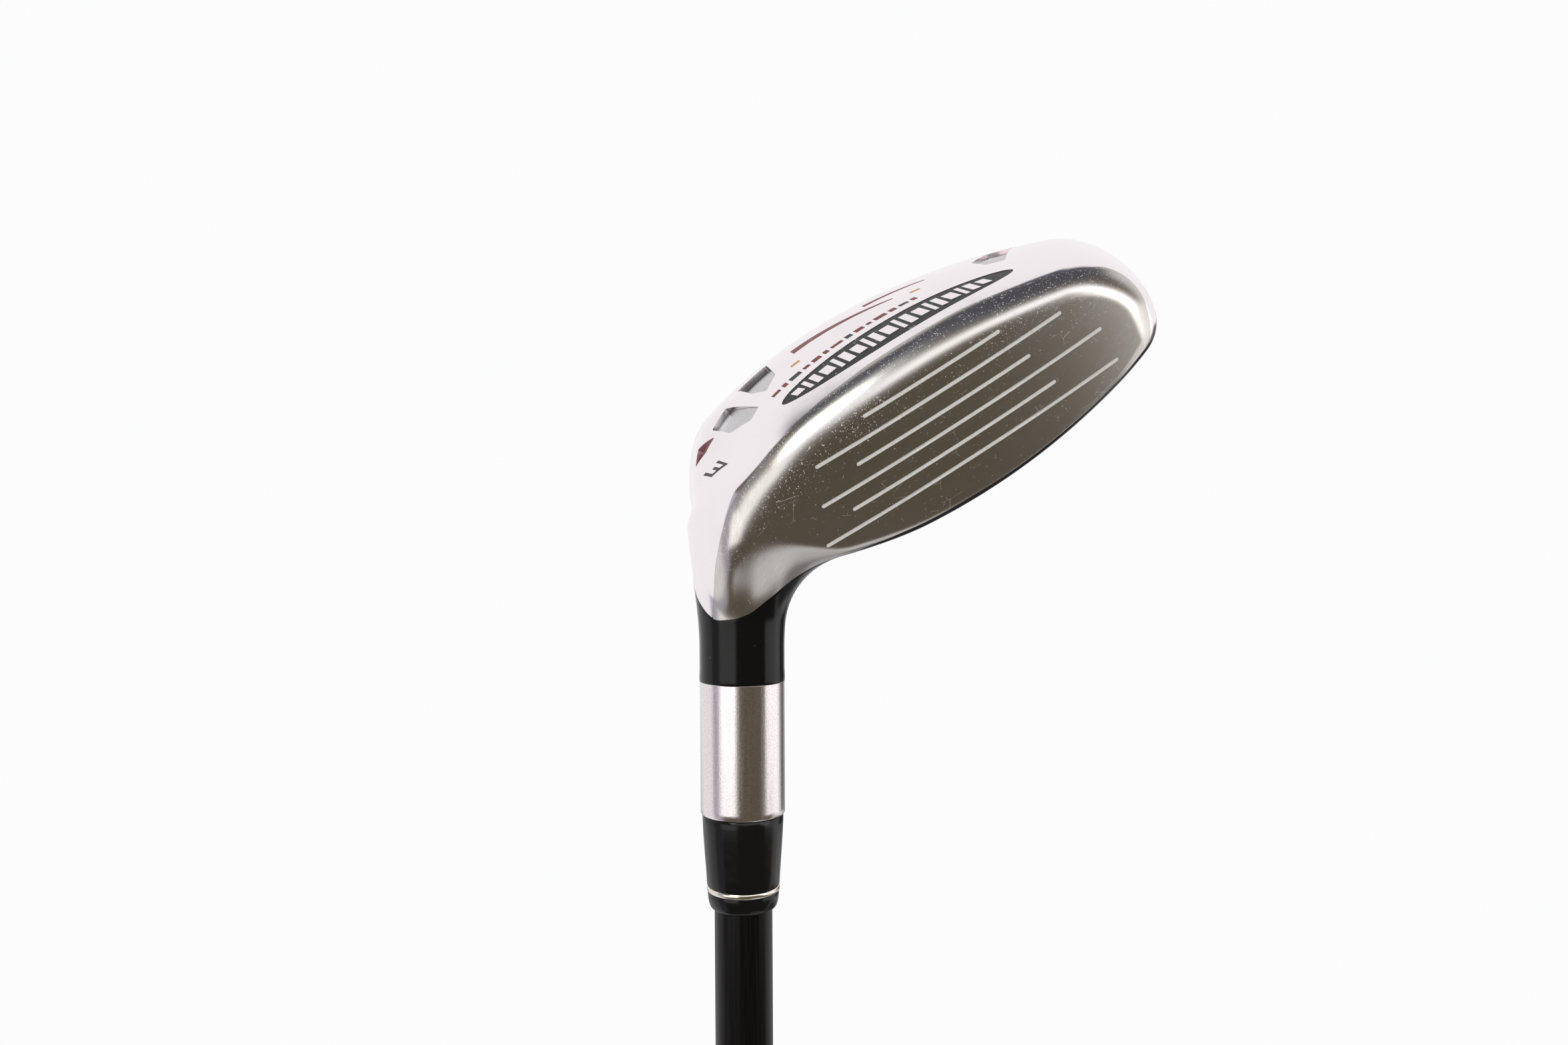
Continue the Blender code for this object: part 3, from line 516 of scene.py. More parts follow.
# ---- node helpers
class Graph:
    """A node tree whose nodes are added by short calls."""

    def __init__(self, tree):
        self.tree = tree

    def add(self, kind, settings=(), **inputs):
        """A node with its inputs set by name, or by number as i0, i1 and so on."""
        node = self.tree.nodes.new(kind)
        for key, value in dict(settings).items():
            setattr(node, key, value)
        for key, value in inputs.items():
            self.feed(node.inputs[int(key[1:]) if key[1:].isdigit() else key.replace("_", " ")],
                      value)
        return node

    def feed(self, socket, value):
        if isinstance(value, bpy.types.NodeSocket):
            self.tree.links.new(value, socket)
        else:
            socket.default_value = value

    def math(self, operation, a, b=0.0):
        return self.add("ShaderNodeMath", {"operation": operation}, i0=a, i1=b).outputs[0]

    def times(self, a, b):
        return self.math("MULTIPLY", a, b)

    def scaled(self, value, by, plus):
        return self.add("ShaderNodeMath", {"operation": "MULTIPLY_ADD"}, i0=value, i1=by,
                        i2=plus).outputs[0]

    def step(self, value, low, high):
        """0 below low, 1 above high, smooth between them; low may be above high."""
        turn = self.add("ShaderNodeMapRange", {"interpolation_type": "SMOOTHSTEP"}, Value=value,
                        From_Min=min(low, high), From_Max=max(low, high),
                        To_Min=float(low > high), To_Max=float(low < high))
        return turn.outputs[0]

    def span(self, value, to_low, to_high, low=0.3, high=0.7):
        """Maps low to high, which is most of a noise's range, onto to_low to to_high."""
        return self.add("ShaderNodeMapRange", Value=value, From_Min=low, From_Max=high,
                        To_Min=to_low, To_Max=to_high).outputs[0]

    def mix(self, share, a, b):
        """Colour a where share is 0 and b where it is 1."""
        a, b = ((*c, 1) if isinstance(c, tuple) else c for c in (a, b))
        return self.add("ShaderNodeMix", {"data_type": "RGBA"}, i0=share, i6=a, i7=b).outputs[2]


class Look(Graph):
    """A Principled material whose patterns are laid out in millimetres."""

    def __init__(self, name, colour, metallic, roughness, **more):
        self.material = bpy.data.materials.new(name)
        self.material.use_nodes = True
        super().__init__(self.material.node_tree)
        self.shader = self.tree.nodes["Principled BSDF"]
        self.set("Base Color", (*colour, 1))
        self.set("Metallic", metallic)
        self.set("Roughness", roughness)
        for key, value in more.items():
            self.set(key, value)
        self.place = self.add("ShaderNodeTexCoord").outputs["Object"]

    def set(self, name, value):
        self.feed(self.shader.inputs[name], value)

    def tint(self, share, a, b):
        self.set("Base Color", self.mix(share, a, b))

    def polish(self, grain, low, high):
        self.set("Roughness", self.span(grain, low, high))

    def bump(self, height, distance, strength):
        """Bump from a 0 to 1 height; distance in millimetres."""
        node = self.add("ShaderNodeBump", Height=height, Distance=distance * 0.001,
                        Strength=strength)
        self.set("Normal", node.outputs[0])

    def dot(self, axis, shift=0.0):
        """Distance along an axis in millimetres."""
        along = self.add("ShaderNodeVectorMath", {"operation": "DOT_PRODUCT"}, i0=self.place,
                         i1=tuple(axis)).outputs["Value"]
        return self.scaled(along, 1000.0, -shift)

    def club_place(self):
        return [self.dot(axis) for axis in np.eye(3)]

    def head_place(self):
        """Toe, out and up distances from the line centre, with out from the shaft axis."""
        lift = np.array([0, 0, HOSEL_END])
        return (self.dot(TOE, float(lift @ TOE) + LINE_CENTRE[0]),
                self.dot(OUT, float(lift @ OUT)),
                self.dot(UP, float(lift @ UP) + LINE_CENTRE[2]))

    def join(self, x, y, z):
        return self.add("ShaderNodeCombineXYZ", i0=x, i1=y, i2=z).outputs[0]

    def stretched(self, place, scales):
        return self.join(*(self.times(value, scale) for value, scale in zip(place, scales)))

    def per_mm(self, scale):
        """The place on the club, scaled alike in every direction."""
        return self.add("ShaderNodeVectorMath", {"operation": "SCALE"}, i0=self.place,
                        Scale=scale * 1000.0).outputs[0]

    def noise(self, vector, detail=3.0, rough=0.5):
        return self.add("ShaderNodeTexNoise", Vector=vector, Scale=1.0, Detail=detail,
                        Roughness=rough).outputs["Fac"]

    def cells(self, vector, feature="F1"):
        return self.add("ShaderNodeTexVoronoi", {"feature": feature}, Vector=vector,
                        Scale=1.0).outputs["Distance"]


def toned(tint, by):
    return tuple(c * by for c in tint)


# ---- materials
def satin_steel():
    """Brushed steel of the face, worn with pits, specks and hairlines."""
    look = Look("satin_steel", (0.62, 0.60, 0.58), 1.0, 0.34)
    x, y, z = look.head_place()
    brush = look.noise(look.stretched((x, y, z), (0.30, 6.0, 6.0)), 5.0, 0.65)
    cloud = look.noise(look.stretched((x, y, z), (0.08, 1.0, 0.1)))
    # short brushing fans out from the root of the hosel
    from_x, from_z = look.math("ADD", x, 45.0), look.math("SUBTRACT", z, 11.0)
    angle = look.math("ARCTAN2", from_z, from_x)
    reach = look.math("SQRT", look.math("ADD", look.times(from_x, from_x),
                                        look.times(from_z, from_z)))
    fan = look.noise(look.join(look.times(angle, 60.0), look.times(reach, 0.7), 3.0), 5.0, 0.7)
    heel = look.step(x, -27.0, -34.0)
    grain = look.add("ShaderNodeMix", {"data_type": "FLOAT"}, i0=heel, i2=brush, i3=fan).outputs[0]
    # pits and bright specks, thickest along the leading edge
    edge = look.step(look.scaled(look.times(x, x), -0.0045, z), -1.0, -9.0)
    patchy = look.noise(look.per_mm(0.16), 2.0)
    limit = look.scaled(look.times(edge, patchy), -0.16, 0.73)
    specks = look.math("GREATER_THAN", look.noise(look.per_mm(3.8), 2.0, 0.6), limit)
    hair = look.cells(look.stretched((x, y, z), (0.30, 0.3, 0.42)), "DISTANCE_TO_EDGE")
    hair = look.times(look.math("LESS_THAN", hair, 0.006),
                      look.step(look.noise(look.per_mm(0.35)), 0.56, 0.62))
    marks = look.math("MAXIMUM", specks, look.times(hair, 0.6))
    colour = look.mix(look.span(grain, 0.0, 1.0), (0.59, 0.57, 0.55), (0.64, 0.62, 0.60))
    colour = look.mix(look.span(cloud, 0.0, 0.5, 0.35, 0.65), colour, (0.58, 0.54, 0.46))
    colour = look.mix(look.times(heel, look.span(fan, 0.0, 0.4, 0.4, 0.7)), colour,
                      (0.78, 0.77, 0.77))
    look.tint(marks, colour, (0.85, 0.84, 0.80))
    look.set("Metallic", look.span(marks, 1.0, 0.25, 0.0, 1.0))
    look.set("Roughness", look.scaled(grain, 0.05, 0.23))
    look.bump(look.scaled(specks, 0.6, grain), 0.005, 0.8)
    return look.material


def polished_steel():
    """Mirror of the sole, smeared and finely scratched."""
    tint, rough = (0.92, 0.875, 0.885), 0.12
    look = Look("polished_steel", tint, 1.0, rough)
    smear = look.noise(look.per_mm(0.09), 4.0, 0.6)
    fine = look.noise(look.per_mm(1.4), 3.0, 0.6)
    place = look.head_place()
    lines = look.noise(look.stretched(place, (0.10, 3.5, 0.6)), 4.0, 0.7)
    hair = look.cells(look.stretched(place, (0.22, 0.34, 1.0)), "DISTANCE_TO_EDGE")
    hair = look.times(look.math("LESS_THAN", hair, 0.004), look.step(smear, 0.50, 0.56))
    look.tint(look.span(smear, 0.0, 0.5, 0.35, 0.7), tint, toned(tint, 0.93))
    look.set("Roughness", look.scaled(hair, 0.15, look.span(smear, rough * 0.7, rough * 1.7)))
    look.bump(look.scaled(lines, 0.5, look.scaled(fine, 0.4, hair)), 0.0016, 1.0)
    return look.material


def hosel_steel():
    look = Look("hosel_steel", (0.80, 0.745, 0.74), 1.0, 0.16)
    streak = look.noise(look.stretched(look.club_place(), (1.2, 1.2, 0.05)), 3.0, 0.6)
    grit = look.noise(look.per_mm(4.0), 3.0, 0.7)
    look.tint(look.span(grit, 0.0, 1.0, 0.35, 0.7), (0.70, 0.65, 0.65), (0.90, 0.86, 0.86))
    look.polish(streak, 0.15, 0.26)
    look.bump(look.scaled(streak, 0.4, grit), 0.014, 0.9)
    return look.material


def gloss_black(name, rough=0.12, tint=(0.006, 0.006, 0.0055)):
    """Black lacquer or plastic with a few specks of dust."""
    look = Look(name, tint, 0.0, rough, IOR=1.33)
    orange = look.noise(look.per_mm(0.9), 2.0)
    dust = look.math("GREATER_THAN", look.noise(look.per_mm(2.2), 1.0), 0.80)
    look.tint(dust, tint, (0.10, 0.10, 0.10))
    look.set("Roughness", look.scaled(dust, 0.3, look.span(orange, rough * 0.8, rough * 1.5)))
    look.bump(orange, 0.004, 0.6)
    return look.material


def painted(name, tint, worn, rough=0.45):
    """Recess paint with worn spots."""
    look = Look(name, tint, 0.0, rough)
    grain = look.noise(look.per_mm(3.0), 3.0, 0.65)
    chips = look.step(look.times(look.math("ADD", grain, look.noise(look.per_mm(0.5))), 0.5),
                      0.6, 0.65)
    mottled = look.mix(look.span(grain, 0.0, 1.0), tint, toned(tint, 0.82))
    look.tint(chips, mottled, worn)
    look.polish(grain, rough * 0.85, rough * 1.2)
    look.bump(grain, 0.03, 0.7)
    return look.material


def recess_steel_with_painted_shade():
    """Dull bare metal, with painted shade darkening the deep rear end of each recess."""
    look = Look("grey_fill", (0.64, 0.63, 0.64), 0.9, 0.35)
    grain = look.noise(look.per_mm(3.0), 3.0, 0.65)
    # painted shade: a mask towards the rear of each pad floor, where the wall would shade it, tints
    # the floor near black
    edge = look.scaled(grain, 1.6, look.head_place()[1])
    colour = look.mix(look.span(grain, 0.0, 1.0), (0.66, 0.65, 0.66), (0.56, 0.55, 0.56))
    look.tint(look.step(edge, -2.2, -4.6), colour, (0.10, 0.10, 0.10))
    look.polish(grain, 0.3, 0.42)
    look.bump(grain, 0.012, 0.7)
    return look.material


def silver_trim():
    look = Look("silver_ring", (0.80, 0.75, 0.66), 1.0, 0.2)
    turn = look.noise(look.join(0.0, 0.0, look.times(look.dot((0, 0, 1)), 14.0)), 3.0, 0.6)
    look.tint(turn, (0.70, 0.65, 0.56), (0.88, 0.84, 0.76))
    look.polish(look.noise(look.per_mm(4.0), 2.0), 0.14, 0.3)
    look.bump(turn, 0.01, 0.6)
    return look.material


def shaft_lacquer():
    look = Look("shaft_lacquer", (0.007, 0.006, 0.006), 0.0, 0.16, IOR=1.25)
    fibre = look.noise(look.stretched(look.club_place(), (4.0, 4.0, 0.06)), 4.0, 0.7)
    look.tint(look.span(fibre, 0.0, 1.0, 0.45, 0.7), (0.005, 0.0045, 0.004),
              (0.012, 0.011, 0.010))
    look.polish(fibre, 0.14, 0.26)
    look.bump(look.noise(look.per_mm(0.25), 2.0), 0.004, 0.5)
    return look.material


def grip_rubber(name, tint):
    look = Look(name, tint, 0.0, 0.7, IOR=1.45)
    pebble = look.cells(look.per_mm(1.1))
    fine = look.noise(look.per_mm(3.5), 3.0, 0.6)
    dust = look.noise(look.per_mm(0.06), 4.0, 0.6)
    look.tint(look.span(dust, 0.0, 0.6, 0.45, 0.75), tint, toned(tint, 2.2))
    look.polish(fine, 0.6, 0.85)
    look.bump(look.scaled(fine, 0.5, pebble), 0.12, 0.8)
    return look.material


def paper_tape():
    look = Look("tape_paper", (0.70, 0.64, 0.50), 0.0, 0.85)
    crepe = look.noise(look.stretched(look.club_place(), (1.0, 1.0, 3.0)), 4.0, 0.7)
    look.tint(crepe, (0.62, 0.56, 0.42), (0.78, 0.72, 0.60))
    look.polish(crepe, 0.75, 0.95)
    look.bump(crepe, 0.08, 0.8)
    return look.material


def cured_epoxy():
    look = Look("epoxy", (0.70, 0.62, 0.42), 0.0, 0.35, IOR=1.5)
    cloud = look.noise(look.per_mm(0.4))
    look.tint(cloud, (0.62, 0.54, 0.34), (0.80, 0.73, 0.55))
    look.polish(cloud, 0.25, 0.5)
    look.bump(cloud, 0.05, 0.6)
    return look.material


# ---- pieces
def build_body(around, paint, bare):
    """The bare hosel and the painted shell, with the shaft bore and the hollow inside."""
    rim = seam_at(PAINT_SEAM, around) - half_gap(PAINT_SEAM, around)

    def ring(z, r):
        return np.stack([r * np.cos(around), r * np.sin(around), z + 0 * around], -1)

    bevel = [(0.0, HOSEL_R - 0.25), (0.08, HOSEL_R - 0.08), (0.25, HOSEL_R)]
    bare_rows = bevel + [(z, HOSEL_R) for z in np.linspace(1.0, PAINT_LINE - 0.05, 20)]
    neck_rows = [(PAINT_LINE, HOSEL_R + PAINT_STEP * 0.6), (PAINT_LINE + 0.08, HOSEL_R + PAINT_STEP),
                 (PAINT_LINE + 0.9, HOSEL_R + PAINT_STEP)]
    neck = np.stack([ring(z, r) for z, r in bare_rows + neck_rows])
    start = math.atan2(HOSEL_R, CENTRE_Z - NECK_START)
    shell = even_rows(start + 0 * around, rim, around, SHELL_ROWS, 0)
    inward = CENTRE - shell
    inward /= np.linalg.norm(inward, axis=-1, keepdims=True)
    # the paint thins out over the last rows before the seam
    fade = ease(0.0, 6.0, np.arange(len(shell))[::-1])[:, None, None]
    shell = shell - inward * PAINT_STEP * fade
    bore = np.stack([ring(z, BORE_R) for z in (0.0, BORE_DEPTH)])
    mouth = math.atan2(BORE_R, CENTRE_Z - BORE_DEPTH - 1.2)
    lining = even_rows(mouth + 0 * around, np.maximum(rim, mouth + 0.06), around, LINING_ROWS,
                       BODY_WALL)
    lining[-1] = on_surface(rim, around, BODY_WALL)
    body = add_piece("head_body_painted", *tube_mesh(np.concatenate([neck, shell]),
                                                     np.concatenate([bore, lining])),
                     paint, ["head_body"], "black_paint")
    body.data.materials.append(bare)
    lift = HOSEL_END + PAINT_LINE - 0.02
    for polygon in body.data.polygons:
        if polygon.center.z * 1000 < lift:
            polygon.material_index = 1


def build_face(front, satin):
    """The lofted face between the paint line and the leading edge, thinner near the hosel."""
    inside = front[1:-1]
    top = seam_at(PAINT_SEAM, inside) + half_gap(PAINT_SEAM, inside)
    low = seam_at(EDGE_SEAM, inside) - half_gap(EDGE_SEAM, inside)
    keep = low - top > 0.006
    inside, top, low = inside[keep], top[keep], low[keep]
    reach = np.linalg.norm(on_surface(top, inside) - CENTRE, axis=-1)
    wall = HEEL_WALL + (FACE_WALL - HEEL_WALL) * ease(14, 34, reach)
    outer = even_rows(top, low, inside, FACE_ROWS, 0)
    inner = even_rows(top, low, inside, FACE_ROWS, wall[None, :])
    return add_piece("face_plate_satin", *patch_mesh(outer, inner), satin, ["face_plate"],
                     "satin_steel")


def build_sole(front, around, polish):
    """The polished bowl below the leading edge and, round the back, below the paint line."""
    rim = seam_at(PAINT_SEAM, around) + half_gap(PAINT_SEAM, around)
    on_face = (around >= front[0]) & (around <= front[-1])
    rim = np.where(on_face, seam_at(EDGE_SEAM, around) + half_gap(EDGE_SEAM, around), rim)
    outer = even_rows(rim, math.pi + 0 * around, around, SOLE_ROWS, 0)
    inner = even_rows(rim, math.pi + 0 * around, around, LINING_ROWS, SOLE_WALL)
    return add_piece("sole_plate_polished", *bowl_mesh(outer, inner), polish, ["sole_plate"],
                     "polished_steel")


def build_score_lines(face, white):
    tools = []
    for i, (half, shift) in enumerate(SCORE_LINES):
        outline = dense_outline(stadium(half, LINE_W, shift, (i - 2.5) * LINE_PITCH, 8), 1.2)
        add_piece(f"score_fill_{i + 1}", *inlay_mesh("face", outline, 0.05, LINE_DEEP, 2), white,
                  [f"score_line_{i + 1}"], "white_fill")
        tools.append(inlay_mesh("face", grown(outline, 0.008), -0.6, LINE_DEEP + 0.02, 1))
    carve(face, tools)


def pad_slope(outline, start):
    """A pad's depth at a distance forward: start at its front, PAD_DROP more at its rear."""
    rear, front = outline[:, 1].min(), outline[:, 1].max()
    return lambda y: start + PAD_DROP * (front - y) / (front - rear)


def sink_pads(looks):
    """Fills the pads and gives the pockets to cut for them.

    Their floors run out level with the sole at the front and end at a wall at the rear.
    """
    pockets = []
    for name, outline, colour in SOLE_PADS:
        soft = dense_outline(rounded(outline, 0.4), 0.6)
        top, low, pocket = (pad_slope(soft, depth) for depth in (0.08, 0.28, 0.33))
        add_piece(name + "_floor", *inlay_mesh("sole", soft, top, low, 6), looks[colour], [name],
                  colour + "_fill")
        pockets.append(inlay_mesh("sole", grown(soft, POCKET_SIDE), POCKET_TOP, pocket, 4))
    return pockets


def strip_middle(x):
    """The bowed centre line of the dark strip."""
    return STRIP_Y - 0.003 * (x - STRIP_X) ** 2


def build_recesses(sole, looks):
    """The strip, the pads and the numeral, each in a pocket cut into the sole."""
    turn = np.linspace(0, 2 * math.pi, 140, endpoint=False)
    x = STRIP_X + STRIP_HALF[0] * np.cos(turn)
    strip = np.stack([x, strip_middle(x) + STRIP_HALF[1] * np.sin(turn)], 1)
    add_piece("sole_strip_fill", *inlay_mesh("sole", strip, 0.08, 0.4, 5), looks["dark"],
              ["sole_strip"], "dark_fill")
    pockets = [inlay_mesh("sole", grown(strip, POCKET_SIDE), POCKET_TOP, 0.45, 3)]
    pockets += sink_pads(looks)
    centre, along, across = (np.array(v) for v in NUMERAL)
    outline = grown([centre + u * along + v * across for u, v in NUMERAL_SHAPE], 0.05)
    add_piece("sole_numeral_fill", *slab_mesh("sole", outline, 0.04, 0.3), looks["dark"],
              ["sole_numeral"], "dark_fill")
    pockets.append(slab_mesh("sole", grown(outline, 0.02), -0.5, 0.35))
    carve(sole, pockets)


def slanted(x, y, half_wide, half_tall, slant):
    """Corners of a leaning bar about its middle."""
    return [(x + u * half_wide + v * slant, y + v * half_tall)
            for u, v in ((-1, -1), (1, -1), (1, 1), (-1, 1))]


def build_strip_bars(polish):
    """Plain slanted bars of uneven width left bright in the dark strip."""
    left = BAR_START
    for i in range(BAR_COUNT):
        wide = STRIP_BARS[i % len(STRIP_BARS)]
        cx, left = left + wide / 2, left + wide + BAR_GAP
        cy = strip_middle(cx)
        taper = math.sqrt(1 - ((cx - STRIP_X) / (STRIP_HALF[0] + 0.5)) ** 2)
        tall = BAR_TALL[i % len(BAR_TALL)] * taper
        bar = slanted(cx, cy, wide / 2, tall, BAR_SLANT)
        add_piece(f"strip_bar_{i + 1}", *slab_mesh("sole", bar, 0.0, 0.2), polish, (),
                  "polished_steel")


def build_sole_paint(looks):
    """A broken line of small dashes, two ticks and two tapered streaks."""
    left = DASH_START
    for i in range(DASH_COUNT):
        wide = SOLE_DASHES[i % len(SOLE_DASHES)]
        cx, left = left + wide / 2 + 0.1, left + wide + DASH_GAP
        dash = slanted(cx, DASH_Y - 0.02 * i, wide / 2, 0.42 if i % 3 else 0.3, 0.1)
        tone = "dark" if i % 5 == 2 else "red"
        add_piece(f"sole_dash_{i + 1}", *slab_mesh("sole", dash, *PAINT_SKIN), looks[tone], (),
                  tone + "_fill")
    for i, cx in enumerate(SOLE_TICKS):
        mark = [(cx, 1.6), (cx + 1.6, 1.7), (cx + 1.6, 2.2), (cx, 2.1)]
        add_piece(f"sole_tick_{i + 1}", *slab_mesh("sole", mark, *PAINT_SKIN), looks["orange"])
    t = np.linspace(0, 1, 40)[:, None]
    side = np.linspace(-1, 1, 7)[None]
    for i, (x0, y0, length, rise, half) in enumerate(SOLE_STREAKS):
        streak_x = x0 + length * t + 0 * side
        streak_y = y0 + rise * t ** 1.6 + side * (half * (1 - t) ** 0.8 + 0.06)
        caps = [drop_on("sole", streak_x, streak_y, depth) for depth in PAINT_SKIN]
        add_piece(f"sole_streak_{i + 1}", *patch_mesh(*caps), looks["red"], (), "red_fill")


def build_ferrule(plastic, silver):
    """Barrel, trim ring and collar, as (radius, height from the hosel end) outlines."""
    z = BARREL_TOP
    barrel = [(FERRULE_BORE, z), (6.05, z), (6.15, z - 0.1), (6.13, z - 1.2), (6.02, z - 3.4),
              (5.84, z - 6), (5.62, z - 9), (5.54, z - 10.6), (5.46, z - 10.85),
              (FERRULE_BORE, z - 10.85)]
    add_piece("ferrule_barrel_gloss", *lathe_mesh(barrel), plastic, ["ferrule_barrel"],
              "black_plastic", 50)
    z = RING_TOP
    ring = [(FERRULE_BORE, z - 0.82), (5.42, z - 0.82), (5.53, z - 0.72), (5.56, z - 0.41),
            (5.53, z - 0.1), (5.42, z), (FERRULE_BORE, z)]
    add_piece("ferrule_ring_trim", *lathe_mesh(ring), silver, ["ferrule_ring"], "silver_ring", 50)
    z = COLLAR_TOP
    curve = [(5.42 - 0.72 * (1 - math.cos(a)), z - 2.55 * math.sin(a))
             for a in np.linspace(0.0, math.pi / 2, 14)]
    collar = [(FERRULE_BORE, z), (5.36, z)] + curve[1:] + [(FERRULE_BORE, z - 2.55)]
    add_piece("ferrule_collar_gloss", *lathe_mesh(collar), plastic, ["ferrule_collar"],
              "black_plastic", 50)


def extent(node):
    """A round CAD piece's radius and the heights of its ends, from the hosel end."""
    low, high = (np.array(corner) * 1000 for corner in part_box(node))
    return (high[0] - low[0]) / 2, low[2] - HOSEL_END, high[2] - HOSEL_END


def shaft_profile():
    """(radius, height) of the shaft's outside from tip to butt."""
    butt_r, butt, tip = extent("shaft")
    taper = tip - TIP_PARALLEL
    return [(SHAFT_TIP_R, tip), (SHAFT_TIP_R, taper)] + [
        (SHAFT_TIP_R + (butt_r - SHAFT_TIP_R) * t, taper + (butt - taper) * t)
        for t in np.linspace(0, 1, 24)[1:]]


def build_shaft(outside, lacquer):
    bored = [(r - SHAFT_WALL, z) for r, z in reversed(outside)]
    add_piece("shaft_tube", *lathe_mesh(outside + bored), lacquer, ["shaft"], "shaft_lacquer", 50)


def build_grip(shaft_outside, rubber):
    """Tapered sleeve with a ring groove every few millimetres and a bead at the mouth."""
    butt_r, start, mouth = extent("grip")

    def skin_r(z):
        return butt_r + (GRIP_MOUTH_R - butt_r) * (z - start) / (mouth - start)

    skin = [(butt_r - 0.5, start), (butt_r - 0.1, start + 0.2), (butt_r, start + 0.6)]
    for z in np.arange(start + 9, mouth - 34, GROOVE_PITCH):
        r = skin_r(z)
        skin += [(r, z), (r - 0.10, z + 0.15), (r - GROOVE_DEEP, z + 0.35),
                 (r - GROOVE_DEEP, z + 0.75), (r - 0.10, z + 0.95), (r, z + 1.1)]
    bead_r = GRIP_MOUTH_R + 0.5
    skin += [(skin_r(mouth - 14), mouth - 14), (bead_r, mouth - 9), (bead_r, mouth - 7),
             (GRIP_MOUTH_R, mouth - 5.5), (GRIP_MOUTH_R, mouth - 1.0),
             (GRIP_MOUTH_R - 0.35, mouth - 0.2), (GRIP_MOUTH_R - 0.8, mouth)]
    radii, heights = np.array(shaft_outside)[::-1].T
    lining = [(float(np.interp(z, heights, radii)) + TAPE_THICK, z)
              for z in np.linspace(mouth, start, 20)]
    add_piece("grip_sleeve", *lathe_mesh(skin + lining, 144), rubber, ["grip"], "grip_rubber", 40)


def build_grip_cap(rubber):
    """Rounded end cap with a shallow ring and the vent hole."""
    r, butt, top = extent("grip_cap")
    cap = [(VENT_R, butt + 0.3), (1.6, butt), (4.6, butt), (4.8, butt + 0.25), (5.4, butt + 0.25),
           (5.6, butt), (r - 1.6, butt), (r - 0.9, butt + 0.12), (r - 0.3, butt + 0.6),
           (r, butt + 1.5), (r, top - 0.15), (r - 0.2, top), (VENT_R, top)]
    add_piece("grip_end_cap", *lathe_mesh(cap), rubber, ["grip_cap"], "grip_cap_rubber", 40)


# ---- studio
def build_world():
    """White backdrop behind the club, soft boxes round it and a dim room on the viewer's side."""
    world = bpy.data.worlds.new("studio")
    bpy.context.scene.world = world
    world.use_nodes = True
    graph = Graph(world.node_tree)
    place = graph.add("ShaderNodeTexCoord").outputs["Generated"]
    x, y, z = graph.add("ShaderNodeSeparateXYZ", i0=place).outputs
    turn = graph.times(graph.math("ARCTAN2", x, graph.times(y, -1.0)), 180 / math.pi)
    rise = graph.times(graph.math("ARCSINE", z), 180 / math.pi)
    light = ROOM
    for turn_span, rise_span, soft, colour in STUDIO:
        sides = [graph.times(graph.step(angle, low - soft, low),
                             graph.step(angle, high + soft, high))
                 for angle, (low, high) in ((turn, turn_span), (rise, rise_span))]
        light = graph.mix(graph.times(*sides), light, colour)
    nodes = world.node_tree.nodes
    graph.feed(nodes["Background"].inputs["Color"], light)
    plain = graph.add("ShaderNodeBackground", Color=(*BACKDROP, 1))
    path = graph.add("ShaderNodeLightPath")
    choose = graph.add("ShaderNodeMixShader", i0=path.outputs["Is Camera Ray"],
                       i1=nodes["Background"].outputs[0], i2=plain.outputs[0])
    graph.feed(nodes["World Output"].inputs["Surface"], choose.outputs[0])


def build_floor():
    """A small disc under the butt; a wide one would mirror in the face and wash it out."""
    data = bpy.data.meshes.new("studio_floor")
    ring = [(FLOOR_R * math.cos(a), FLOOR_R * math.sin(a), FLOOR_Z)
            for a in np.linspace(0, 2 * math.pi, 96, endpoint=False)]
    data.from_pydata(ring, [], [tuple(range(len(ring)))])
    look = Look("studio_floor", (0.90, 0.90, 0.90), 0.0, 0.8)
    look.tint(look.noise(look.per_mm(0.01)), (0.88, 0.88, 0.88), (0.92, 0.92, 0.92))
    data.materials.append(look.material)
    floor = bpy.data.objects.new("studio_floor", data)
    bpy.context.scene.collection.objects.link(floor)


def build_lights():
    for name, place, aim, size, power in LIGHTS:
        data = bpy.data.lights.new(name, "AREA")
        data.shape, data.size, data.energy = "DISK", size, power
        lamp = bpy.data.objects.new(name, data)
        lamp.location = place
        away = Vector(place) - Vector(aim)
        lamp.rotation_euler = away.to_track_quat("Z", "Y").to_euler()
        bpy.context.scene.collection.objects.link(lamp)


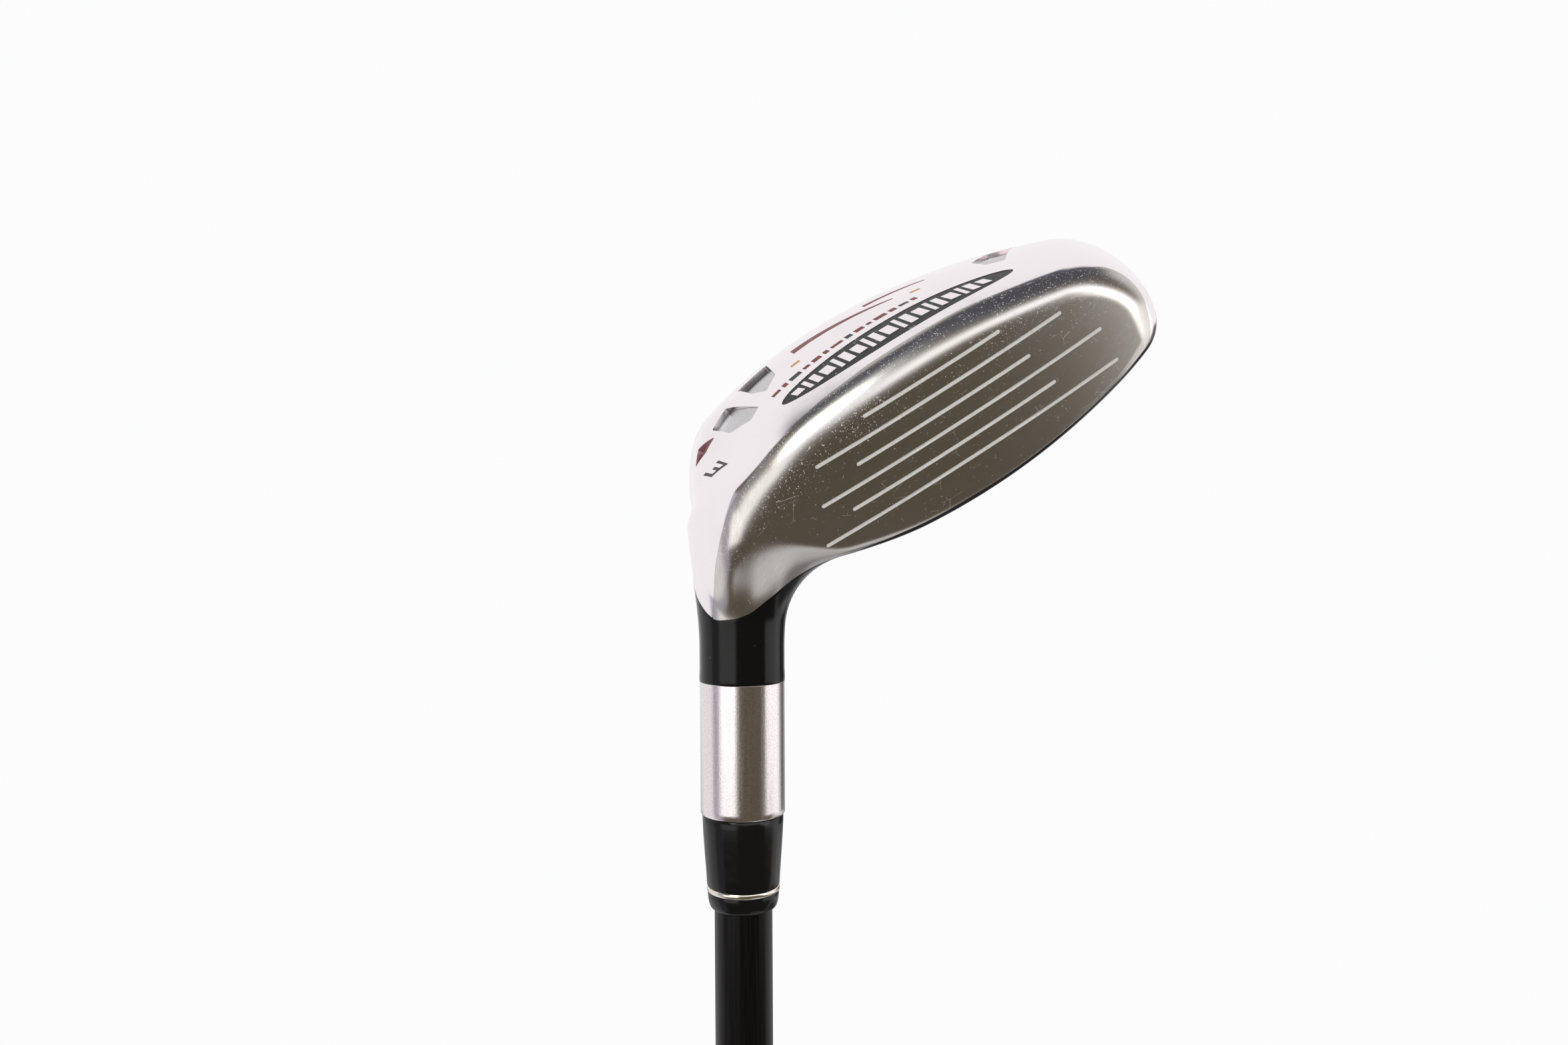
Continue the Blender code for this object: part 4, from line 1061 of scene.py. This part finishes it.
def build_camera():
    """Level with the head, in front and slightly to the heel side."""
    turn, tip, roll = (math.radians(v) for v in CAMERA_ANGLES)
    right = np.array([math.cos(turn), -math.sin(turn), 0.0])
    ahead = np.array([math.sin(turn) * math.cos(tip), math.cos(turn) * math.cos(tip),
                      -math.sin(tip)])
    up = np.cross(right, ahead)
    right, up = (right * math.cos(roll) - up * math.sin(roll),
                 up * math.cos(roll) + right * math.sin(roll))
    data = bpy.data.cameras.new("photo_camera")
    data.lens, data.sensor_width, data.sensor_fit = CAMERA_LENS, 36.0, "HORIZONTAL"
    data.clip_start, data.clip_end = 0.01, 50.0
    camera = bpy.data.objects.new("photo_camera", data)
    pose = Matrix(np.column_stack([right, up, -ahead]).tolist()).to_4x4()
    pose.translation = (np.array(CAMERA_PLACE) + (0, 0, HOSEL_END)) * 0.001
    camera.matrix_world = pose
    bpy.context.scene.collection.objects.link(camera)
    bpy.context.scene.camera = camera


def dress_hidden_nodes():
    """Looks for the carried-over CAD pieces inside the club."""
    for node, look in (("epoxy_bond", cured_epoxy()), ("grip_tape", paper_tape())):
        for slot in NODES[node].material_slots:
            slot.material = look


def main():
    plastic, polish = gloss_black("black_plastic", 0.14, (0.008, 0.008, 0.008)), polished_steel()
    looks = {
        "dark": painted("dark_fill", (0.035, 0.034, 0.036), (0.45, 0.44, 0.43)),
        "grey": recess_steel_with_painted_shade(),
        "red": painted("red_fill", (0.22, 0.040, 0.042), (0.50, 0.36, 0.36)),
        "orange": painted("orange_paint", (0.75, 0.35, 0.05), (0.8, 0.6, 0.4)),
    }
    front, rest = head_columns()
    around = np.concatenate([front, rest])
    build_body(around, gloss_black("black_paint"), hosel_steel())
    face = build_face(front, satin_steel())
    sole = build_sole(front, around, polish)
    build_score_lines(face, painted("white_fill", (0.95, 0.94, 0.90), (0.68, 0.66, 0.60), 0.55))
    build_recesses(sole, looks)
    build_strip_bars(polish)
    build_sole_paint(looks)
    build_ferrule(plastic, silver_trim())
    shaft_outside = shaft_profile()
    build_shaft(shaft_outside, shaft_lacquer())
    build_grip(shaft_outside, grip_rubber("grip_rubber", (0.020, 0.020, 0.021)))
    build_grip_cap(grip_rubber("grip_cap_rubber", (0.026, 0.026, 0.027)))
    dress_hidden_nodes()
    build_world()
    build_floor()
    build_lights()
    build_camera()
    bpy.context.scene.view_settings.view_transform = "Standard"


main()
